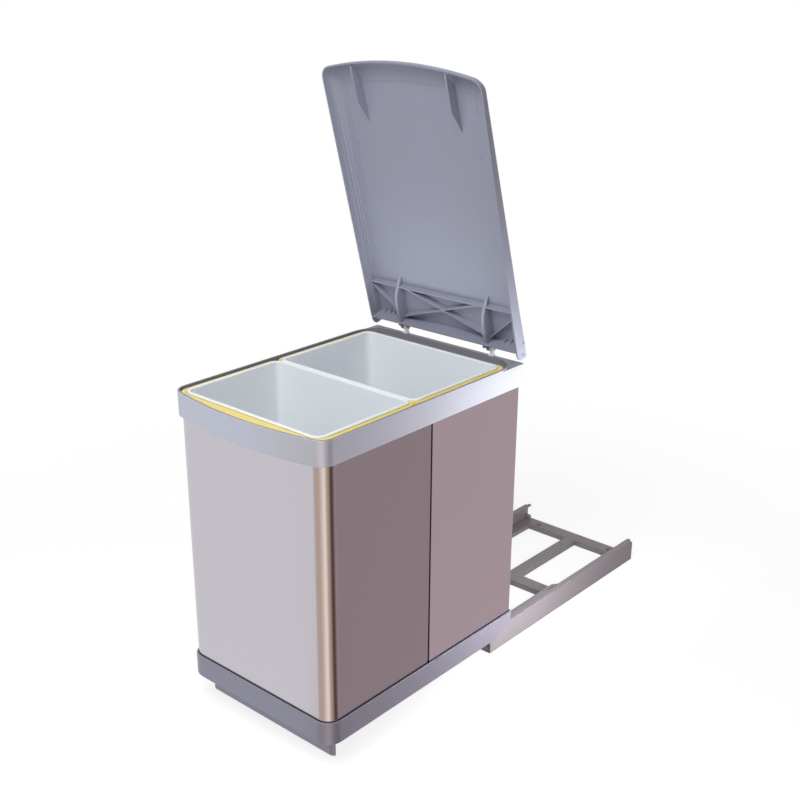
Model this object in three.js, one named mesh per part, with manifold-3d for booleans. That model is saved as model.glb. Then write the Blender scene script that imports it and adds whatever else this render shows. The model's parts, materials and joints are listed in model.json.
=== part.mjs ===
// Pull-out waste bin unit for a kitchen base cabinet: a steel-clad bin with a hinged lid and two
// lift-out buckets, which runs on rollers out of a floor frame that is screwed to the cabinet's floor.
//
// Millimetres, +X right and +Y back as the user sees it, +Z up. While the pieces are made, Y = 0 is the
// steel front, X = 0 the middle and Z = 0 the cabinet floor. The bin is fully out and the lid is open.
import * as THREE from "three";
import { mergeVertices } from "three/addons/utils/BufferGeometryUtils.js";
import Module from "manifold-3d";

const wasm = await Module();
wasm.setup();

// ---------------------------------------------------------------- driving dimensions
const GAP = 0.3; // between pieces that touch
const CUT = 1; // how far a cutter runs past the face that it opens

// steel shell
const SHELL_WIDTH = 250;
const SHELL_DEPTH = 362;
const SHELL_CORNER = 18;
const SHELL_REAR_CORNER = 4;
const SHEET = 0.8;
const SEAM_BEHIND_MIDDLE = 4; // edge of the lap in the right side
const LAP = 15;
const JOGGLE = 3.4;

// base tray
const TRAY_GROW = 3.1; // outside of the band over the steel
const TRAY_BOTTOM = 40.5;
const BAND_HEIGHT = 31;
const BAND_WALL = 2.2;
const TRAY_FLOOR = 2.5;
const LEDGE_HEIGHT = 14; // the steel's foot stands this high above the tray's underside
const GUIDE_HEIGHT = 10; // of the wall inside the steel's foot
const RIB_FRONT = 13; // of the ribs on the tray's floor
const RAISED_LENGTH = 35; // the tray's rear end is raised to clear the rails' front ends
const RAISE = 11.3;
const SKIRT_INSET = 11; // from the steel's side
const SKIRT_FRONT = 19.2;
const SKIRT_WALL = 2.8;
const SKIRT_BOTTOM = 10;
const SKIRT_RETURN = 4;
const SKIRT_CORNER = 8;

// top collar
const COLLAR_BOTTOM = 406;
const COLLAR_HEIGHT = 32;
const COLLAR_GROW = 2.9;
const COLLAR_WALL = 2.6;
const COLLAR_FRONT = -16.4; // middle of the bowed front
const COLLAR_BOW = 15.5;
const COLLAR_CORNER = 20;
const COLLAR_REAR_CORNER = 3;
const COLLAR_OVERHANG = 3.5; // behind the steel
const SHELF_DEPTH = 7; // top of the shelf below the collar's top
const SHELF_THICK = 2.5;
const DIVIDER_HEIGHT = 11; // of the bar between the buckets, below the shelf
const DECK_THICK = 2.4;
const DECK_WIDTH = 11; // from the mouth to the collar's rear
const DECK_SINK = 2; // below the thin wall round the mouth
const MOUTH_WALL = 1.6;
const MOUTH_CORNER = 34; // at the rear
const SCREW_IN = 11.5; // from the steel's side
const SCREW_FROM_REAR = 9;
const SCREW_HEAD = 2.6;
const SCREW_SHANK = 1.5;
const SCREW_LENGTH = 14;
const BOSS_LENGTH = 16;
const BOSS_WALL = 1.6;

// bag rings and buckets
const RING_SIDE_GAP = 3.8; // from the collar's wall
const RING_REAR_OVER = 4; // past the rear bucket's lip
const RING_THICK = 3.8; // under the lip
const RING_BEAD = 1.3; // rise of the bead round the lip
const RING_FRONT_GAP = 1.6; // from the collar's wall
const RING_CORNER = 12;
const RING_CLEARANCE = 0.6; // to the bucket's body
const SHELF_BEARING = 1.6; // the shelf's edge lies this far outside the ring's
const LIP_WIDTH = 3;
const LIP_THICK = 2.6;
const LIP_GAP = 1; // between the two lips at the divider
const LIP_INSET = 9.5; // from the steel's side
const LIP_FRONT = 2.5;
const LIP_FROM_REAR = 29; // from the steel's rear
const SPLIT_AHEAD = 7.25; // of the middle between the two ends
const BUCKET_CORNER = 14;
const DIVIDER_CORNER = 11;
const BUCKET_WALL = 1.7;
const BUCKET_FLOOR = 2.2;
const BUCKET_DRAFT = 9; // each side, from the lip to the foot
const BUCKET_FOOT_GAP = 5.5; // above the tray's floor
const BUCKET_FOOT_RADIUS = 8;

// lid: S runs from the hinge axis to the front edge, N from the plate down to the free edge
const HINGE_FROM_REAR = 4.5; // axis to the collar's rear
const HINGE_HEIGHT = 9; // axis above the collar's top
const LID_OPEN = 74; // degrees above the closed pose of the plate's plane
const LID_INSET = 1.6; // from the collar's outside
const LID_BOW = 14.6;
const LID_CORNER = 17;
const LID_PLATE = 2;
const LID_LIP = 2.2;
const LID_AXIS_N = 11.5;
const LID_DEPTH_REAR = 20;
const LID_DEPTH_FRONT = 14.4;
const LID_REAR_S = 7;
const PILLOW_REAR = 3;
const PILLOW_SIDE = 21;
const PILLOW_FRONT = 27.5;
const PILLOW_START_SHARE = 0.253; // of the lid's length
const PILLOW_END_FROM_FRONT = 16;
const EAR_BACK = 5.8; // behind the hinge axis
const EAR_HOLE = 1.3;
const FIN_INSET = 50.7; // from the steel's side
const FIN_THICK = 4.4;
const RIB = 1.6;
const RIB_HEIGHT = 9.5;
const CROSS_RIB_S = 59;
const FRONT_FIN_LENGTH = 83;
const FRONT_FIN_HEEL = 50;
const FRONT_FIN_TIP = 4; // from the free edge
const GUSSETS = 3;
const GUSSET_STEP = 9;

// hinge posts and pins
const KNUCKLE = 4.6;
const PIN = 2;
const CHEEK = 5.2;
const POST_BASE = 3;

// floor frame and rails
const RAIL_OVERLAP = 17; // of the rails' front ends under the bin, when it is fully out
const RAIL_LENGTH = 383;
const RAIL_INSET = 8; // from the skirt's side
const RAIL_HEIGHT = 34.5;
const RAIL_WEB = 3;
const RAIL_LIP = 9.5;
const RAIL_LIP_THICK = 2.5;
const RAIL_FOOT = 2;
const RAIL_FOOT_WIDTH = 17;
const FRAME_HEIGHT = 9.5;
const FRAME_SKIN = 2.5;
const STRIP_WIDTH = 20.7;
const CROSSBAR = 22;
const CENTRE_BAR_HALF = 9.2;
const FRAME_SCREW_IN = 11.6; // from the strip's inner edge
const FRAME_SCREW = 2.6;

// roller runners: the middle runner moves half as far as the bin
const SKIRT_CLEARANCE = 1; // skirt to rails, when the bin is in
const ROOM_OUTSIDE = 11; // from the rail's web to the middle runner's, for the outer rollers
const ROOM_INSIDE = 7.2; // from the middle runner's web to the bin runner's, for the inner rollers
const RUNNER_SHEET = 1.8;
const MIDDLE_SHEET = 1.5;
const MIDDLE_FOOT_GAP = 1.1; // above the rail's floor
const MIDDLE_UNDER_LIP = 1; // middle runner's top below the rail's lip
const MIDDLE_TRACK_SINK = 2.9; // top of the inward flange below the runner's top
const MIDDLE_SHORTER = 38; // than the rail
const MIDDLE_FLANGE = 2;
const OUTWARD_FLANGE = 7;
const BIN_RUNNER_FOOT = 12;
const BIN_FLANGE_WIDTH = 15.5;
const TRACK_WIDTH = 6.3;
const TRACK_PLAY = 0.4; // from the middle runner's inward flange up to the bin's track
const ROLLER_PIN = 2.5;
const PIN_FIT = 0.12;
const PIN_HEAD = 3.4;
const PIN_SOCKET = 2;

// ---------------------------------------------------------------- sizes that follow
const SHELL_HALF = SHELL_WIDTH / 2;
const SEAM_Y = SHELL_DEPTH / 2 + SEAM_BEHIND_MIDDLE;
const SKIRT_HALF = SHELL_HALF - SKIRT_INSET;
const RAIL_HALF = SKIRT_HALF - RAIL_INSET;
const MIDDLE_LENGTH = RAIL_LENGTH - MIDDLE_SHORTER;
const BIN_RUNNER_LENGTH = SHELL_DEPTH - RAISED_LENGTH;
const TRAY_TOP = TRAY_BOTTOM + BAND_HEIGHT;
const SHELL_FOOT = TRAY_BOTTOM + LEDGE_HEIGHT + GAP;
const COLLAR_TOP = COLLAR_BOTTOM + COLLAR_HEIGHT;
const COLLAR_HALF = SHELL_HALF + COLLAR_GROW;
const COLLAR_REAR = SHELL_DEPTH + COLLAR_OVERHANG;
const SHELF_TOP = COLLAR_TOP - SHELF_DEPTH;
const SHELL_TOP = SHELF_TOP - SHELF_THICK - GAP;
const SCREW_X = SHELL_HALF - SCREW_IN;
const DECK_TOP = COLLAR_TOP - DECK_SINK;
const RING_BOTTOM = SHELF_TOP + GAP;
const RING_FRONT = COLLAR_FRONT + COLLAR_WALL + RING_FRONT_GAP;
const RING_BOW = COLLAR_BOW - 1;
const LIP_HALF = SHELL_HALF - LIP_INSET;
const LIP_REAR = SHELL_DEPTH - LIP_FROM_REAR;
const LIP_SPLIT = (LIP_FRONT + LIP_REAR) / 2 - SPLIT_AHEAD;
const LIP_BOTTOM = RING_BOTTOM + RING_THICK + GAP;
const BUCKET_FOOT = TRAY_BOTTOM + TRAY_FLOOR + BUCKET_FOOT_GAP;
const HINGE_Y = COLLAR_REAR - HINGE_FROM_REAR;
const HINGE_Z = COLLAR_TOP + HINGE_HEIGHT;
const LID_HALF = COLLAR_HALF - LID_INSET;
const LID_LENGTH = HINGE_Y - COLLAR_FRONT - LID_INSET;
const PILLOW_START = LID_LENGTH * PILLOW_START_SHARE;
const PILLOW_END = LID_LENGTH - PILLOW_END_FROM_FRONT;
const FIN_X = SHELL_HALF - FIN_INSET;
const RAIL_FRONT = SHELL_DEPTH - RAIL_OVERLAP;
const RAIL_REAR = RAIL_FRONT + RAIL_LENGTH;
const RAIL_INSIDE = RAIL_HALF - RAIL_WEB;
const STRIP_INNER = RAIL_INSIDE - GAP - STRIP_WIDTH;
const TRAVEL = RAIL_FRONT - SKIRT_FRONT - SKIRT_WALL - SKIRT_CLEARANCE;
const MIDDLE_WEB = RAIL_INSIDE - ROOM_OUTSIDE;
const MIDDLE_INSIDE = MIDDLE_WEB - MIDDLE_SHEET;
const MIDDLE_BOTTOM = FRAME_HEIGHT + MIDDLE_FOOT_GAP;
const MIDDLE_TOP = RAIL_HEIGHT - RAIL_LIP_THICK - MIDDLE_UNDER_LIP;
const MIDDLE_TRACK_TOP = MIDDLE_TOP - MIDDLE_TRACK_SINK;
const MIDDLE_FRONT = RAIL_FRONT + SKIRT_CLEARANCE - TRAVEL / 2;
const MIDDLE_REAR = MIDDLE_FRONT + MIDDLE_LENGTH;
const BIN_WEB = MIDDLE_INSIDE - ROOM_INSIDE;
const BIN_INSIDE = BIN_WEB - RUNNER_SHEET;
const BIN_RUNNER_FRONT = SKIRT_FRONT + SKIRT_WALL + 3;
const BIN_RUNNER_REAR = BIN_RUNNER_FRONT + BIN_RUNNER_LENGTH;
const TRACK_TOP = MIDDLE_TRACK_TOP + TRACK_PLAY + RUNNER_SHEET;

// ---------------------------------------------------------------- paints
const paint = (color, roughness, metalness = 0) => () =>
  new THREE.MeshStandardMaterial({ color, roughness, metalness });
const collarGrey = paint(0xaeb4c4, 0.42);
const trayGrey = paint(0x8f909c, 0.5);
const lidGrey = paint(0x9697aa, 0.45);
const frameGrey = paint(0x807a82, 0.5);
const steel = paint(0xb3a9ad, 0.28, 0.95);
const zinc = paint(0x9a9ca0, 0.35, 0.9);
const bucketWhite = paint(0xd6dce3, 0.4);
const ringYellow = paint(0xf0d678, 0.45);
const postWhite = paint(0xf0f0f2, 0.4);
const rollerWhite = paint(0xe4e4e0, 0.45);

// ---------------------------------------------------------------- solids
// A closed geometry as a solid that can be joined and cut.
function solid(geometry) {
  const bare = geometry.index ? geometry.clone() : geometry;
  bare.deleteAttribute("normal");
  bare.deleteAttribute("uv");
  const merged = mergeVertices(bare, 1e-4);
  return new wasm.Manifold(
    new wasm.Mesh({
      numProp: 3,
      vertProperties: new Float32Array(merged.attributes.position.array),
      triVerts: new Uint32Array(merged.index.array),
    }),
  );
}

const joined = (parts) => parts.reduce((all, part) => all.add(part));
const without = (body, cuts) => cuts.reduce((rest, cut) => rest.subtract(cut), body);

// A block between two corners, given in any order.
function block(x0, x1, y0, y1, z0, z1) {
  const geometry = new THREE.BoxGeometry(Math.abs(x1 - x0), Math.abs(y1 - y0), Math.abs(z1 - z0));
  geometry.translate((x0 + x1) / 2, (y0 + y1) / 2, (z0 + z1) / 2);
  return solid(geometry);
}

const shapeOf = (points) => new THREE.Shape(points.map(([u, v]) => new THREE.Vector2(u, v)));

// An outline in plan, from height z0 to z1.
function prism(points, z0, z1) {
  const geometry = new THREE.ExtrudeGeometry(shapeOf(points), { depth: z1 - z0, bevelEnabled: false });
  geometry.translate(0, 0, z0);
  return solid(geometry);
}

// An outline [y, z] seen from the right, from x0 to x1.
function sidePrism(points, x0, x1) {
  const geometry = new THREE.ExtrudeGeometry(shapeOf(points), { depth: x1 - x0, bevelEnabled: false });
  geometry.rotateX(Math.PI / 2);
  geometry.rotateZ(Math.PI / 2);
  geometry.translate(x0, 0, 0);
  return solid(geometry);
}

// An outline [x, z] seen from the front, from y0 to y1.
function frontPrism(points, y0, y1) {
  const geometry = new THREE.ExtrudeGeometry(shapeOf(points), { depth: y1 - y0, bevelEnabled: false });
  geometry.rotateX(Math.PI / 2);
  geometry.translate(0, y1, 0);
  return solid(geometry);
}

// A turned piece: the profile [radius, along] runs along +Z.
function turned(profile, sides) {
  const points = profile.map(([r, along]) => new THREE.Vector2(r, along));
  const geometry = new THREE.LatheGeometry(points, sides);
  geometry.rotateX(Math.PI / 2);
  return geometry;
}

// A turned piece whose axis runs along X through (y, z); the profile's second value is x.
function turnedAcross(profile, y, z, sides = 24) {
  const geometry = turned(profile, sides);
  geometry.rotateY(Math.PI / 2);
  geometry.translate(0, y, z);
  return solid(geometry);
}

// A skin through rings of points, all with as many points and counter-clockwise seen from +Z, from the
// first ring to the last, closed by a flat cap at each end.
function loft(rings) {
  const count = rings[0].length;
  const positions = rings.flat(2);
  const index = [];
  for (let ring = 0; ring < rings.length - 1; ring++) {
    for (let i = 0; i < count; i++) {
      const a = ring * count + i;
      const b = ring * count + ((i + 1) % count);
      index.push(a, b, b + count, a, b + count, a + count);
    }
  }
  const capOf = (ring) => THREE.ShapeUtils.triangulateShape(ring.map(([x, y]) => new THREE.Vector2(x, y)), []);
  capOf(rings[0]).forEach(([a, b, c]) => index.push(a, c, b));
  const last = (rings.length - 1) * count;
  capOf(rings.at(-1)).forEach(([a, b, c]) => index.push(last + a, last + b, last + c));
  const geometry = new THREE.BufferGeometry();
  geometry.setAttribute("position", new THREE.Float32BufferAttribute(positions, 3));
  geometry.setIndex(index);
  return solid(geometry);
}

const atHeight = (points, z) => points.map(([x, y]) => [x, y, z]);

const ARC_STEPS = 5;
const BOW_STEPS = 6;

// Right half of an edge y = start + bow (x / half)^2 and of the arc that rounds its outer corner.
function bowedHalfEdge(half, start, bow, radius) {
  let slope = 0;
  let tangent = half - radius;
  for (let pass = 0; pass < 6; pass++) {
    slope = Math.atan((2 * bow * tangent) / half ** 2);
    tangent = half - radius + radius * Math.sin(slope);
  }
  const edge = [];
  const steps = bow === 0 ? 1 : BOW_STEPS;
  for (let i = 0; i < steps; i++) {
    const x = (tangent * i) / steps;
    edge.push([x, start + bow * (x / half) ** 2]);
  }
  const centreY = start + bow * (tangent / half) ** 2 + radius * Math.cos(slope);
  for (let i = 0; i <= ARC_STEPS; i++) {
    const angle = -Math.PI / 2 + slope + ((Math.PI / 2 - slope) * i) / ARC_STEPS;
    edge.push([half - radius + radius * Math.cos(angle), centreY + radius * Math.sin(angle)]);
  }
  return edge;
}

// A symmetric outline in plan, from the middle of its front edge round to the left. Front and rear
// edges may be bowed; a positive bow draws the corners towards the middle of the outline.
function outline({ half, front, rear, radius, bow = 0, rearBow = 0, rearRadius = radius }, inset = 0) {
  const least = 0.4;
  const ahead = bowedHalfEdge(half - inset, front + inset, bow, Math.max(radius - inset, least));
  const behind = bowedHalfEdge(half - inset, -(rear - inset), rearBow, Math.max(rearRadius - inset, least));
  const right = [...ahead, ...behind.map(([x, y]) => [x, -y]).reverse()];
  const left = right.slice(1, -1).map(([x, y]) => [-x, y]).reverse();
  return [...right, ...left];
}

// The same plan with every side moved in and its corners as round as before.
const shrunk = (plan, by) => ({ ...plan, half: plan.half - by, front: plan.front + by, rear: plan.rear - by });

// ---------------------------------------------------------------- the assembly
const unit = new THREE.Group();
const bin = new THREE.Group();
const lidGroup = new THREE.Group();
unit.add(bin);
bin.add(lidGroup);

function place(group, name, body, makePaint) {
  const made = body.getMesh();
  const geometry = new THREE.BufferGeometry();
  geometry.setAttribute("position", new THREE.BufferAttribute(new Float32Array(made.vertProperties), 3));
  geometry.setIndex(new THREE.BufferAttribute(new Uint32Array(made.triVerts), 1));
  const mesh = new THREE.Mesh(geometry.toNonIndexed(), makePaint());
  mesh.geometry.computeVertexNormals();
  mesh.name = name;
  group.add(mesh);
}

const SIDES = [
  { side: "left", sign: -1 },
  { side: "right", sign: 1 },
];
const mirroredTo = (sign, body) => (sign < 0 ? body.mirror([1, 0, 0]) : body);

// ---------------------------------------------------------------- steel shell
const shellPlan = {
  half: SHELL_HALF,
  front: 0,
  rear: SHELL_DEPTH,
  radius: SHELL_CORNER,
  rearRadius: SHELL_REAR_CORNER,
};
const EDGE = 0.8; // of the rounded edges of the tray and the collar

// One sheet bent round the bin. Its rear end laps over the front end, which steps in under it.
function steelShell() {
  const ring = prism(outline(shellPlan), SHELL_FOOT, SHELL_TOP).subtract(
    prism(outline(shellPlan, SHEET), SHELL_FOOT - CUT, SHELL_TOP + CUT),
  );
  const start = SEAM_Y - JOGGLE;
  const inside = SHELL_HALF - SHEET;
  const tuck = SHEET + GAP;
  const opening = block(inside - CUT, SHELL_HALF + CUT, start, SEAM_Y, SHELL_FOOT - CUT, SHELL_TOP + CUT);
  const steppedEnd = prism(
    [
      [inside, start - CUT],
      [SHELL_HALF, start - CUT],
      [SHELL_HALF, start],
      [SHELL_HALF - tuck, SEAM_Y - SHEET],
      [SHELL_HALF - tuck, SEAM_Y + LAP],
      [inside - tuck, SEAM_Y + LAP],
      [inside - tuck, SEAM_Y - SHEET],
      [inside, start],
    ],
    SHELL_FOOT,
    SHELL_TOP,
  );
  return ring.subtract(opening).add(steppedEnd);
}
place(bin, "steel_shell", steelShell(), steel);

// Room inside the sheet for the end that steps in under the lap.
const lapRoom = (z0, z1) =>
  block(
    SHELL_HALF - 2 * (SHEET + GAP) - CUT / 2,
    SHELL_HALF - SHEET,
    SEAM_Y - JOGGLE - CUT,
    SEAM_Y + LAP + CUT,
    z0,
    z1,
  );

// ---------------------------------------------------------------- base tray
// The band round the steel's foot, an inner wall that the sheet stands against, the floor between them
// with a raised rear end, and the skirt that hides the rails' front ends when the bin is in.
function baseTray() {
  const plan = {
    half: SHELL_HALF + TRAY_GROW,
    front: -TRAY_GROW,
    rear: SHELL_DEPTH + TRAY_GROW,
    radius: SHELL_CORNER + TRAY_GROW,
    rearRadius: SHELL_REAR_CORNER + TRAY_GROW,
  };
  const ledgeTop = TRAY_BOTTOM + LEDGE_HEIGHT;
  const sheetInside = TRAY_GROW + SHEET + GAP;
  const innerWall = sheetInside + BAND_WALL;
  const outside = loft([
    atHeight(outline(plan, EDGE), TRAY_BOTTOM),
    atHeight(outline(plan), TRAY_BOTTOM + EDGE),
    atHeight(outline(plan), TRAY_TOP - EDGE),
    atHeight(outline(plan, EDGE), TRAY_TOP),
  ]);
  const hollow = prism(outline(plan, BAND_WALL), TRAY_BOTTOM - CUT, TRAY_TOP + CUT);
  const band = outside.subtract(hollow);
  const ledge = prism(outline(plan, BAND_WALL / 2), ledgeTop - TRAY_FLOOR, ledgeTop).subtract(
    prism(outline(plan, innerWall), ledgeTop - TRAY_FLOOR - CUT, ledgeTop + CUT),
  );
  const guideTop = ledgeTop + GUIDE_HEIGHT;
  const guide = prism(outline(plan, sheetInside), TRAY_BOTTOM, guideTop).subtract(
    prism(outline(plan, innerWall), TRAY_BOTTOM - CUT, guideTop + CUT),
  ).subtract(lapRoom(ledgeTop, guideTop + CUT));
  const floor = prism(outline(plan, sheetInside + BAND_WALL / 2), TRAY_BOTTOM, TRAY_BOTTOM + TRAY_FLOOR);
  const raisedFront = plan.rear - RAISED_LENGTH;
  const raisedBottom = TRAY_BOTTOM + RAISE;
  const notch = block(-plan.half - CUT, plan.half + CUT, raisedFront, plan.rear + CUT, 0, raisedBottom);
  const inner = prism(outline(plan, BAND_WALL / 2), TRAY_BOTTOM, ledgeTop);
  const step = block(-plan.half, plan.half, raisedFront - TRAY_FLOOR, raisedFront, TRAY_BOTTOM, ledgeTop);
  const raised = block(-plan.half, plan.half, raisedFront - CUT, plan.rear, raisedBottom, ledgeTop);
  const tray = joined([band, ledge, guide, floor])
    .subtract(notch)
    .add(step.add(raised).intersect(inner));
  return joined([tray, skirt(), ...trayRibs(guideTop, raisedFront)]);
}

function skirt() {
  const rear = SKIRT_FRONT + SKIRT_RETURN;
  const end = rear + 3 * SKIRT_CORNER;
  const plan = { half: SKIRT_HALF, front: SKIRT_FRONT, rear: end, radius: SKIRT_CORNER };
  const top = TRAY_BOTTOM + TRAY_FLOOR / 2;
  const open = block(-SKIRT_HALF - CUT, SKIRT_HALF + CUT, rear, end + CUT, 0, top + CUT);
  const inside = prism(outline(plan, SKIRT_WALL), SKIRT_BOTTOM - CUT, top + CUT);
  return without(prism(outline(plan), SKIRT_BOTTOM, top), [inside, open]);
}

// Low ribs on the tray's floor, under the two buckets.
function trayRibs(top, rear) {
  const height = Math.min(top, TRAY_BOTTOM + TRAY_FLOOR + 3);
  return [-1, 0, 1].map((step) => {
    const x = (step * SHELL_WIDTH) / 4;
    return block(x - RIB / 2, x + RIB / 2, RIB_FRONT, rear - CUT, TRAY_BOTTOM + 1, height);
  });
}
place(bin, "base_tray", baseTray(), trayGrey);

// ---------------------------------------------------------------- top collar
const collarPlan = {
  half: COLLAR_HALF,
  front: COLLAR_FRONT,
  rear: COLLAR_REAR,
  radius: COLLAR_CORNER,
  bow: COLLAR_BOW,
  rearRadius: COLLAR_REAR_CORNER,
};
const SCREW_Y = COLLAR_REAR - SCREW_FROM_REAR;
const SCREW_SEAT = DECK_TOP - 1.4;

const LIPS = [
  { name: "front", front: LIP_FRONT, rear: LIP_SPLIT - LIP_GAP / 2 },
  { name: "rear", front: LIP_SPLIT + LIP_GAP / 2, rear: LIP_REAR },
];
const lipPlan = ({ name, front, rear }) => ({
  half: LIP_HALF,
  front,
  rear,
  radius: name === "front" ? BUCKET_CORNER : DIVIDER_CORNER,
  rearRadius: name === "front" ? DIVIDER_CORNER : BUCKET_CORNER,
});

// A thin wall with a bowed front, a shelf that carries the bag rings, a sunk rear deck for the hinge
// posts and, below the shelf, the groove that the steel's top edge stands in.
function topCollar() {
  const outside = loft([
    atHeight(outline(collarPlan, EDGE), COLLAR_BOTTOM),
    atHeight(outline(collarPlan), COLLAR_BOTTOM + EDGE),
    atHeight(outline(collarPlan), COLLAR_TOP - EDGE / 2),
    atHeight(outline(collarPlan, EDGE / 2), COLLAR_TOP),
  ]);
  const mouthPlan = {
    ...collarPlan,
    half: COLLAR_HALF - COLLAR_WALL,
    front: COLLAR_FRONT + COLLAR_WALL,
    rear: COLLAR_REAR - DECK_WIDTH,
    radius: COLLAR_CORNER - COLLAR_WALL,
    rearRadius: MOUTH_CORNER,
  };
  const mouth = prism(outline(mouthPlan), SHELF_TOP, COLLAR_TOP + CUT);
  const behindMouth = prism(outline(mouthPlan, -MOUTH_WALL), COLLAR_BOTTOM - CUT, COLLAR_TOP + 2 * CUT);
  const deckFront = mouthPlan.rear - MOUTH_CORNER;
  const side = COLLAR_HALF + CUT;
  const overDeck = block(-side, side, deckFront, COLLAR_REAR + CUT, DECK_TOP, COLLAR_TOP + CUT);
  const shelfBottom = SHELF_TOP - SHELF_THICK;
  const below = prism(outline(collarPlan, COLLAR_WALL), COLLAR_BOTTOM - CUT, shelfBottom);
  const underDeck = prism(outline(collarPlan, COLLAR_WALL), shelfBottom - CUT, DECK_TOP - DECK_THICK);
  const holeInset = LIP_WIDTH - RING_CLEARANCE - SHELF_BEARING;
  const holes = LIPS.map((lip) =>
    prism(outline(lipPlan(lip), holeInset), shelfBottom - CUT, SHELF_TOP + CUT),
  );
  const collar = without(outside, [
    mouth,
    below,
    overDeck.subtract(behindMouth),
    underDeck.subtract(behindMouth),
    ...holes,
  ]);
  const whole = joined([collar, grooveWalls(shelfBottom), ...collarRibs(shelfBottom), ...bosses()]);
  return without(whole, screwHoles());
}

// Walls on both sides of the steel's top edge.
function grooveWalls(shelfBottom) {
  const grown = GAP + 2;
  const foot = COLLAR_BOTTOM + 4;
  const outer = prism(outline(shellPlan, -grown), COLLAR_BOTTOM + 1, shelfBottom + CUT).subtract(
    prism(outline(shellPlan, -GAP), COLLAR_BOTTOM - CUT, shelfBottom + 2 * CUT),
  );
  const inner = prism(outline(shellPlan, SHEET + GAP), foot, shelfBottom + CUT)
    .subtract(prism(outline(shellPlan, SHEET + grown), foot - CUT, shelfBottom + 2 * CUT))
    .subtract(lapRoom(foot - CUT, shelfBottom));
  const limit = prism(outline(collarPlan, COLLAR_WALL / 2), COLLAR_BOTTOM, SHELF_TOP - CUT / 2);
  return outer.add(inner).intersect(limit);
}

// Upright ribs behind the bowed front, and the bar between the two buckets.
function collarRibs(shelfBottom) {
  const ribs = [-0.6, -0.2, 0.2, 0.6].map((share) => {
    const x = share * COLLAR_HALF;
    const front = COLLAR_FRONT + COLLAR_BOW * share ** 2 + COLLAR_WALL / 2;
    return block(x - RIB / 2, x + RIB / 2, front, -GAP - 1, COLLAR_BOTTOM + 3, shelfBottom + CUT);
  });
  const barHalf = LIP_GAP / 2 + 0.9;
  const reach = SHELL_HALF - SHEET - GAP - 1;
  const [front, rear] = [LIP_SPLIT - barHalf, LIP_SPLIT + barHalf];
  const bar = block(-reach, reach, front, rear, shelfBottom - DIVIDER_HEIGHT, SHELF_TOP - CUT / 2);
  return [...ribs, bar];
}

function bosses() {
  return SIDES.map(({ sign }) => {
    const radius = SCREW_HEAD + BOSS_WALL;
    const profile = [
      [0, DECK_TOP - BOSS_LENGTH],
      [radius, DECK_TOP - BOSS_LENGTH],
      [radius, DECK_TOP - 1],
      [0, DECK_TOP - 1],
    ];
    const geometry = turned(profile, 16);
    geometry.translate(sign * SCREW_X, SCREW_Y, 0);
    return solid(geometry);
  });
}

function screwHoles() {
  return SIDES.map(({ sign }) => {
    const shank = SCREW_SHANK + GAP;
    const head = SCREW_HEAD + GAP;
    const profile = [
      [0, DECK_TOP - BOSS_LENGTH - CUT],
      [shank, DECK_TOP - BOSS_LENGTH - CUT],
      [shank, SCREW_SEAT],
      [head, SCREW_SEAT],
      [head, DECK_TOP + CUT],
      [0, DECK_TOP + CUT],
    ];
    const geometry = turned(profile, 16);
    geometry.translate(sign * SCREW_X, SCREW_Y, 0);
    return solid(geometry);
  });
}
place(bin, "top_collar", topCollar(), collarGrey);

for (const { side, sign } of SIDES) {
  const bottom = SCREW_SEAT + GAP;
  const profile = [
    [0, bottom - SCREW_LENGTH],
    [SCREW_SHANK, bottom - SCREW_LENGTH],
    [SCREW_SHANK, bottom],
    [SCREW_HEAD, bottom],
    [SCREW_HEAD * 0.8, DECK_TOP],
    [0, DECK_TOP + 0.2],
  ];
  const geometry = turned(profile, 16);
  geometry.translate(sign * SCREW_X, SCREW_Y, 0);
  place(bin, `${side}_collar_screw`, solid(geometry), zinc);
}

// ---------------------------------------------------------------- bag rings and buckets
// A ring that rests on the collar's shelf, with a rounded bead round the bucket's lip; the front one
// follows the collar's bowed front.
function bagRing(lip) {
  const half = COLLAR_HALF - COLLAR_WALL - RING_SIDE_GAP;
  const isFront = lip.name === "front";
  const plan = {
    half,
    front: isFront ? RING_FRONT : lip.front - LIP_GAP / 4,
    rear: isFront ? lip.rear + LIP_GAP / 4 : lip.rear + RING_REAR_OVER,
    radius: isFront ? RING_CORNER : DIVIDER_CORNER,
    bow: isFront ? RING_BOW : 0,
    rearRadius: isFront ? DIVIDER_CORNER : RING_CORNER,
  };
  const ledge = RING_BOTTOM + RING_THICK;
  const top = ledge + RING_BEAD;
  const round = 1.3;
  const body = loft([
    atHeight(outline(plan), RING_BOTTOM),
    atHeight(outline(plan), top - round),
    atHeight(outline(plan, round * 0.3), top - round * 0.3),
    atHeight(outline(plan, round), top),
  ]);
  const room = lipPlan(lip);
  const lipRoom = loft([
    atHeight(outline(room, -GAP), ledge),
    atHeight(outline(room, -GAP), ledge + GAP),
    atHeight(outline(room, -GAP - round), top + 0.1),
    atHeight(outline(room, -GAP - round), top + CUT),
  ]);
  const hole = prism(outline(room, LIP_WIDTH - RING_CLEARANCE), RING_BOTTOM - CUT, top + CUT);
  return without(body, [lipRoom, hole]);
}

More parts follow.
